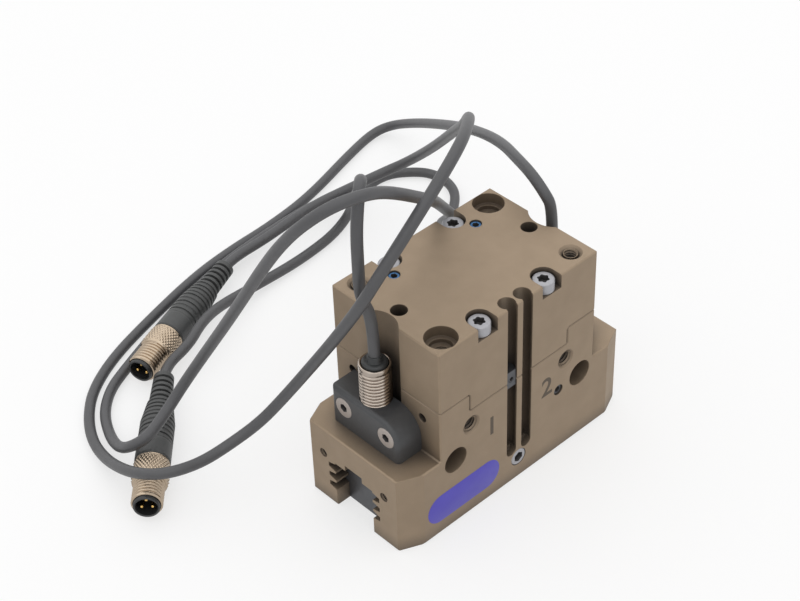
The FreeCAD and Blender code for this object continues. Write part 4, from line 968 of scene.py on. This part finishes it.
@dataclass(frozen=True)
class Fasteners:
    """Every screw that shows."""

    cover_spots: tuple[float, float] = (10.7, 15.1)
    cover_seat: float = 53.1
    head_radius: float = 2.75
    head_height: float = 3.0
    head_foot: float = 0.15
    head_round: float = 0.4
    cover_length: float = 25.0
    cover_drive: tuple[float, float] = (2.9, 1.5)
    shank: float = 1.5
    point: tuple[float, float] = (0.3, 0.4)
    bracket_face: float = 34.1
    bracket_spots: tuple[float, float] = (7.3, 29.4)
    flat_radius: float = 2.8
    flat_length: float = 12.0
    flat_rim: float = 0.2
    flat_bevel: float = 0.12
    flat_drive: tuple[float, float] = (2.0, 1.2)
    top_set: Point = (13.65, 10.2, 56.6)
    front_set: Point = (14.0, -17.6, 20.1)
    purge: Point = (0.0, -18.0, 6.8)
    set_radius: float = 1.5
    set_length: float = 4.0
    set_drive: float = 1.5
    set_drive_depth: float = 1.4
    purge_radius: float = 2.45
    purge_length: float = 6.0
    purge_drive: float = 2.5
    stop: Point = (-2.5, -17.7, 34.3)
    stop_radius: float = 0.9
    stop_length: float = 2.4
    stop_drive: float = 1.1
    stop_edge: float = 0.1

    def build(self) -> None:
        """Make all groups of screws."""
        self.build_cover_screws()
        self.build_bracket_screws()
        x, y, z = self.top_set
        size = (self.set_radius, self.set_length, self.set_drive)
        self.build_set("set_screws_top", "top_set_screws", Finishes.LOCK_BLUE, *size,
                       [Place((-x, y, z)), Place((x, y, z))])
        self.build_set("set_screw_front", "front_set_screw", Finishes.DARK_STEEL, *size,
                       [Place(self.front_set, FORWARD)])
        self.build_set("purge_screw", "purge_plug", Finishes.STEEL, self.purge_radius, self.purge_length,
                       self.purge_drive, [Place(self.purge, FORWARD)])
        self.build_set("stop_screw", "slot_block_screw", Finishes.DARK_STEEL, self.stop_radius,
                       self.stop_length, self.stop_drive, [Place(self.stop, FORWARD)], self.stop_edge)

    def tail(self, length: float) -> tuple[tuple[float, float], tuple[float, float]]:
        """The tapered end of a shank of that length, as (radius, height) corners."""
        return (self.shank - self.point[0], -length), (self.shank, self.point[1] - length)

    def build_cover_screws(self) -> None:
        """Four round heads with six-lobe recesses."""
        outline = (*self.tail(self.cover_length), (self.shank, 0.0),
                   (self.head_radius - self.head_foot, 0.0), (self.head_radius, self.head_foot),
                   *round_edge(self.head_radius, self.head_height, self.head_round))
        screw = Screw(outline, self.head_height, Drive.LOBES, *self.cover_drive)
        skin = Skin("cover_screws_lobed")
        for x, y in CORNERS:
            skin.add(screw.grid(), Place((x * self.cover_spots[0], y * self.cover_spots[1], self.cover_seat)),
                     recess=screw.recess)
        skin.make(Finishes.STEEL, "body", "steel", "cover_screws")

    def build_bracket_screws(self) -> None:
        """Four flat heads with hexagon recesses, flush with the brackets."""
        cone = self.flat_radius - self.shank
        outline = (*self.tail(self.flat_length), (self.shank, -cone - self.flat_rim),
                   (self.flat_radius, -self.flat_rim), (self.flat_radius - self.flat_bevel, 0.0))
        screw = Screw(outline, 0.0, Drive.HEX, *self.flat_drive)
        skin = Skin("bracket_screws_flat")
        for x, y in CORNERS:
            spot = (x * self.bracket_face, y * self.bracket_spots[0], self.bracket_spots[1])
            skin.add(screw.grid(), Place(spot, (float(x), 0.0, 0.0)), recess=screw.recess)
        skin.make(Finishes.FLAT_STEEL, "body", "steel", "bracket_screws")

    def build_set(self, name: str, node: str, finish: Finishes, radius: float, length: float, width: float,
                  places: list[Place], edge: float = 0.25) -> None:
        """Make screws without heads.

        Args:
            name: the piece's name.
            node: the CAD node that it stands for.
            finish: its finish.
            radius: the screw's radius.
            length: its length below its top.
            width: over the flats of its recess.
            places: the middle of each screw's top.
            edge: how far its ends are chamfered.
        """
        outline = ((radius - edge, -length), (radius, edge - length), (radius, -edge), (radius - edge, 0.0))
        skin = Skin(name)
        screw = Screw(outline, 0.0, Drive.HEX, width, self.set_drive_depth)
        for place in places:
            skin.add(screw.grid(), place, recess=screw.recess)
        skin.make(finish, "body", "steel", node)


@dataclass(frozen=True)
class Markings:
    """The plain blue sticker and the port numbers on the front."""

    front: float = -18.0
    sticker_middle: tuple[float, float] = (-18.95, 8.3)
    sticker_length: float = 24.2
    sticker_height: float = 8.6
    sticker_thickness: float = 0.03
    sticker_bevel: float = 0.03
    sticker_sink: float = 0.05
    sticker_columns: int = 96
    numbers: tuple[tuple[str, float, float], ...] = (("1", -9.4, 23.6), ("2", 9.8, 23.6))
    number_height: float = 5.0
    stroke_growth: float = 0.11
    em_share: float = 0.62
    number_proud: float = 0.02

    def build(self) -> None:
        """Make the sticker and both numbers."""
        place = Place((self.sticker_middle[0], self.front, self.sticker_middle[1]), FORWARD)
        angles = ring_angles(self.sticker_columns) + TURN / self.sticker_columns / 2
        radius = self.sticker_height / 2
        shift = (self.sticker_length / 2 - radius) * np.sign(np.cos(angles))
        inset = np.array([0.0, 0.0, self.sticker_bevel])
        rise = np.array([-self.sticker_sink, self.sticker_thickness / 2, self.sticker_thickness])
        grid = turned(radius - inset, rise, angles)
        grid[..., 0] += shift
        Skin("label_sticker").add(grid, place).make(Finishes.STICKER, "body", "anodised")
        for word, x, z in self.numbers:
            self.build_number(word, Place((x, self.front, z), FORWARD))

    def build_number(self, word: str, place: Place) -> None:
        """A thin number on the face, made from text as a mesh in the shared frame."""
        text = bpy.data.curves.new(f"number_{word}", "FONT")
        text.body, text.size = word, self.number_height / self.em_share
        text.align_x, text.align_y = "CENTER", "CENTER"
        text.extrude, text.offset = self.number_proud, self.stroke_growth
        source = bpy.data.objects.new("number_source", text)
        bpy.context.scene.collection.objects.link(source)
        mesh = bpy.data.meshes.new_from_object(source.evaluated_get(bpy.context.evaluated_depsgraph_get()))
        bpy.data.objects.remove(source)
        points = np.zeros(3 * len(mesh.vertices))
        mesh.vertices.foreach_get("co", points)
        mesh.vertices.foreach_set("co", place.apply(points.reshape(-1, 3)).ravel())
        mesh.materials.clear()
        settle(f"port_number_{word}", mesh, Finishes.MARK, "body", "anodised")


@dataclass(frozen=True)
class HoleThreads:
    """Threads in the open holes, as closed thin linings: mouth, axis, radius, depth and pitch of each."""

    holes: tuple[tuple[Point, Point, float, float, float], ...] = (
        ((-16.3, -18.0, 28.9), FORWARD, 2.1, 6.0, 0.8),
        ((16.3, -18.0, 28.9), FORWARD, 2.1, 6.0, 0.8),
        ((21.6, -13.7, 57.0), UP, 1.7, 8.0, 0.7),
        ((-21.6, 13.7, 57.0), UP, 1.7, 8.0, 0.7),
        ((-21.6, -13.7, 52.8), UP, 1.7, 7.0, 0.7),
        ((21.6, 13.7, 52.8), UP, 1.7, 7.0, 0.7),
        ((-38.5, -10.7, 15.25), (-1.0, 0.0, 0.0), 1.25, 5.0, 0.5),
        ((-38.5, 10.7, 15.25), (-1.0, 0.0, 0.0), 1.25, 5.0, 0.5),
        ((38.5, -10.7, 15.25), (1.0, 0.0, 0.0), 1.25, 5.0, 0.5),
        ((38.5, 10.7, 15.25), (1.0, 0.0, 0.0), 1.25, 5.0, 0.5))
    mouth: float = 0.35
    behind: float = 0.1
    proud: float = 0.03
    ridge: float = 0.5
    fade: float = 0.5
    rows_per_pitch: int = 8
    columns: int = 40

    def build(self) -> None:
        """A lining for each hole: out along the wall behind, back along the thread."""
        skin = Skin("hole_threads")
        angles = ring_angles(self.columns)
        for spot, axis, radius, depth, pitch in self.holes:
            wall = radius - self.proud
            thread = Thread(wall, -self.ridge * pitch, pitch, -depth, -self.mouth, self.fade,
                            self.rows_per_pitch)
            rows = thread.heights()[::-1]
            inner = np.minimum(2 * wall - thread.radius(rows, angles), wall)
            back = turned(np.full(2, radius + self.behind), np.array([-depth, -self.mouth]), angles)
            skin.add(np.vstack([back, turned(inner, rows, angles)]), Place(spot, axis), Ends.LOOP)
        skin.make(Finishes.ANODISED, "body", "anodised")


@dataclass(frozen=True)
class Frame:
    """The CAD nodes that are shown as they are, and the finish of each material slot."""

    finishes: tuple[tuple[str, Finishes], ...] = (
        ("anodised", Finishes.ANODISED), ("steel", Finishes.STEEL), ("dark_steel", Finishes.DARK_STEEL),
        ("piston_metal", Finishes.PISTON), ("magnet", Finishes.MAGNET), ("bronze", Finishes.BRONZE),
        ("seal", Finishes.SEAL), ("bracket", Finishes.BRACKET), ("nickel", Finishes.NICKEL),
        ("sensor_plastic", Finishes.SENSOR_PLASTIC), ("plug_plastic", Finishes.PLUG_PLASTIC),
        ("gold", Finishes.GOLD), ("lead", Finishes.LEAD))
    exceptions: tuple[tuple[str, Finishes], ...] = (("slot_block", Finishes.DARK_STEEL),)

    def dress(self, nodes: dict[str, bpy.types.Object], record: dict) -> None:
        """Give each CAD node its finish.

        Args:
            nodes: the CAD objects by name.
            record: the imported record, which says each node's slot.
        """
        by_slot, by_node = dict(self.finishes), dict(self.exceptions)
        for part in record["subparts"]:
            name, slot = part["node"], part["material_slot"]
            surfaces = nodes[name].data.materials
            surfaces.clear()
            surfaces.append(by_node.get(name, by_slot[slot]).material)
            log.info("%s: %s", name, slot)


LEFT_ROUTE: tuple[Point, ...] = (
    (-32, 1.5, 66), (-32.5, 1, 77), (-32, 1.5, 85), (-30.5, 2, 93.5), (-27, 5, 94.5), (-23.5, 9, 90.5),
    (-17.5, 16, 83), (-9.5, 25.5, 73), (0, 37, 61), (10.5, 49.5, 48), (21, 62.5, 34.5), (30.5, 74, 22),
    (37.5, 83, 12), (40.5, 90.5, 6), (39.5, 95, 5), (35, 98, 4), (26.5, 98, 4), (16.5, 97.5, 4),
    (4, 97.5, 3), (-8, 96, 2), (-20, 92.5, 1.5), (-33, 88, 1.5), (-46.5, 82.5, 1.5), (-54, 79, 1.5),
    (-60.5, 73, 1.5), (-65, 64.5, 2.5), (-68, 56, 6), (-68.5, 49.5, 11), (-65, 46.5, 14), (-58, 48.5, 15.5),
    (-51, 48.5, 21.5), (-47, 43, 33), (-46.5, 33.5, 48), (-47, 24.5, 62), (-47.5, 16.5, 74.5),
    (-47.5, 9.5, 85), (-46.5, 3, 93.5), (-42.5, -3, 100), (-34, -4.5, 99.5), (-25.5, -2.5, 94.5),
    (-8.5, 3.5, 80), (2, 12.5, 69), (11.5, 20.5, 58.5), (20, 23.5, 48), (31.5, 41, 31), (41, 52, 15),
    (49.5, 61, 4.5), (60, 67, 1.5), (68.5, 73, 1.5), (72, 78.5, 1.5), (72.5, 85, 1.5), (70, 90.5, 1.5),
    (61.5, 97, 1.5), (49.5, 95, 1.5), (35, 86.5, 1.5), (17.5, 84, 1.5), (-1, 83.5, 2.5), (-15.5, 80.5, 6),
    (-24.5, 76.5, 8), (-31.5, 73, 7))
RIGHT_ROUTE: tuple[Point, ...] = (
    (28.5, 1.5, 63), (29.5, 7, 65.5), (33.5, 15.5, 63.5), (40.5, 27, 58.5), (49.5, 42.5, 49.5),
    (61, 62.5, 36), (71, 83, 22), (77.5, 99.5, 11), (79.5, 111.5, 3.5), (74.5, 115, 1.5), (62, 112, 1.5),
    (38.5, 104.5, 1.5), (21, 102, 1.5), (6, 101.5, 1.5), (-9.5, 99.5, 1.5), (-31, 93.5, 1.5),
    (-46, 88.5, 1.5), (-57.5, 82, 1.5), (-64.5, 74.5, 1.5), (-69, 66.5, 1.5), (-71.5, 57, 3.5),
    (-73.5, 45, 9.5), (-72.5, 36.5, 13.5), (-68, 32.5, 14), (-60, 31.5, 12.5), (-51.5, 31, 13),
    (-44.5, 27, 18.5), (-40, 22, 27.5), (-37.5, 14.5, 40), (-37, 5.5, 54), (-35.5, -2, 67),
    (-31.5, -5, 76), (-16, -5.5, 90), (-5.5, -3, 95), (2.5, 2, 94), (12, 10.5, 89), (20.5, 19.5, 80),
    (30, 30.5, 68), (40, 43.5, 55), (48.5, 56, 42), (54.5, 67.5, 30), (57.5, 77, 20.5), (57, 83.5, 14.5),
    (53.5, 87, 12), (41, 89, 11.5), (28.5, 92, 10), (13, 93, 7))
PLUGS = (Plug(Side.LEFT, (-75.37, 35.19, 5.0), (-43.1, 69.3, 5.0)),
         Plug(Side.RIGHT, (-46.21, 75.86, 5.0), (-1.0, 93.9, 5.0)))
LEAD_LENGTHS = (760.5, 681.4)


def build_cables() -> None:
    """Make both plugs and leads and join them."""
    for plug, route, length in zip(PLUGS, (LEFT_ROUTE, RIGHT_ROUTE), LEAD_LENGTHS):
        lead = Lead(plug.side, route, length, Sensor(plug.side).lead_exit, plug.end, plug.place.axis)
        lead.declare(lead.build(), plug.build())


def main() -> None:
    """Build the whole scene round the CAD frame."""
    logging.basicConfig(level=logging.INFO, format="%(message)s")
    for item in list(bpy.data.objects):
        bpy.data.objects.remove(item)
    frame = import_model()
    Camera().build()
    Studio().build()
    Frame().dress(frame["nodes"], frame["record"])
    build_cables()
    for side in Side:
        Sensor(side).build()
        Spring(side).build()
    Fasteners().build()
    Markings().build()
    HoleThreads().build()


if __name__ == "__main__":
    main()
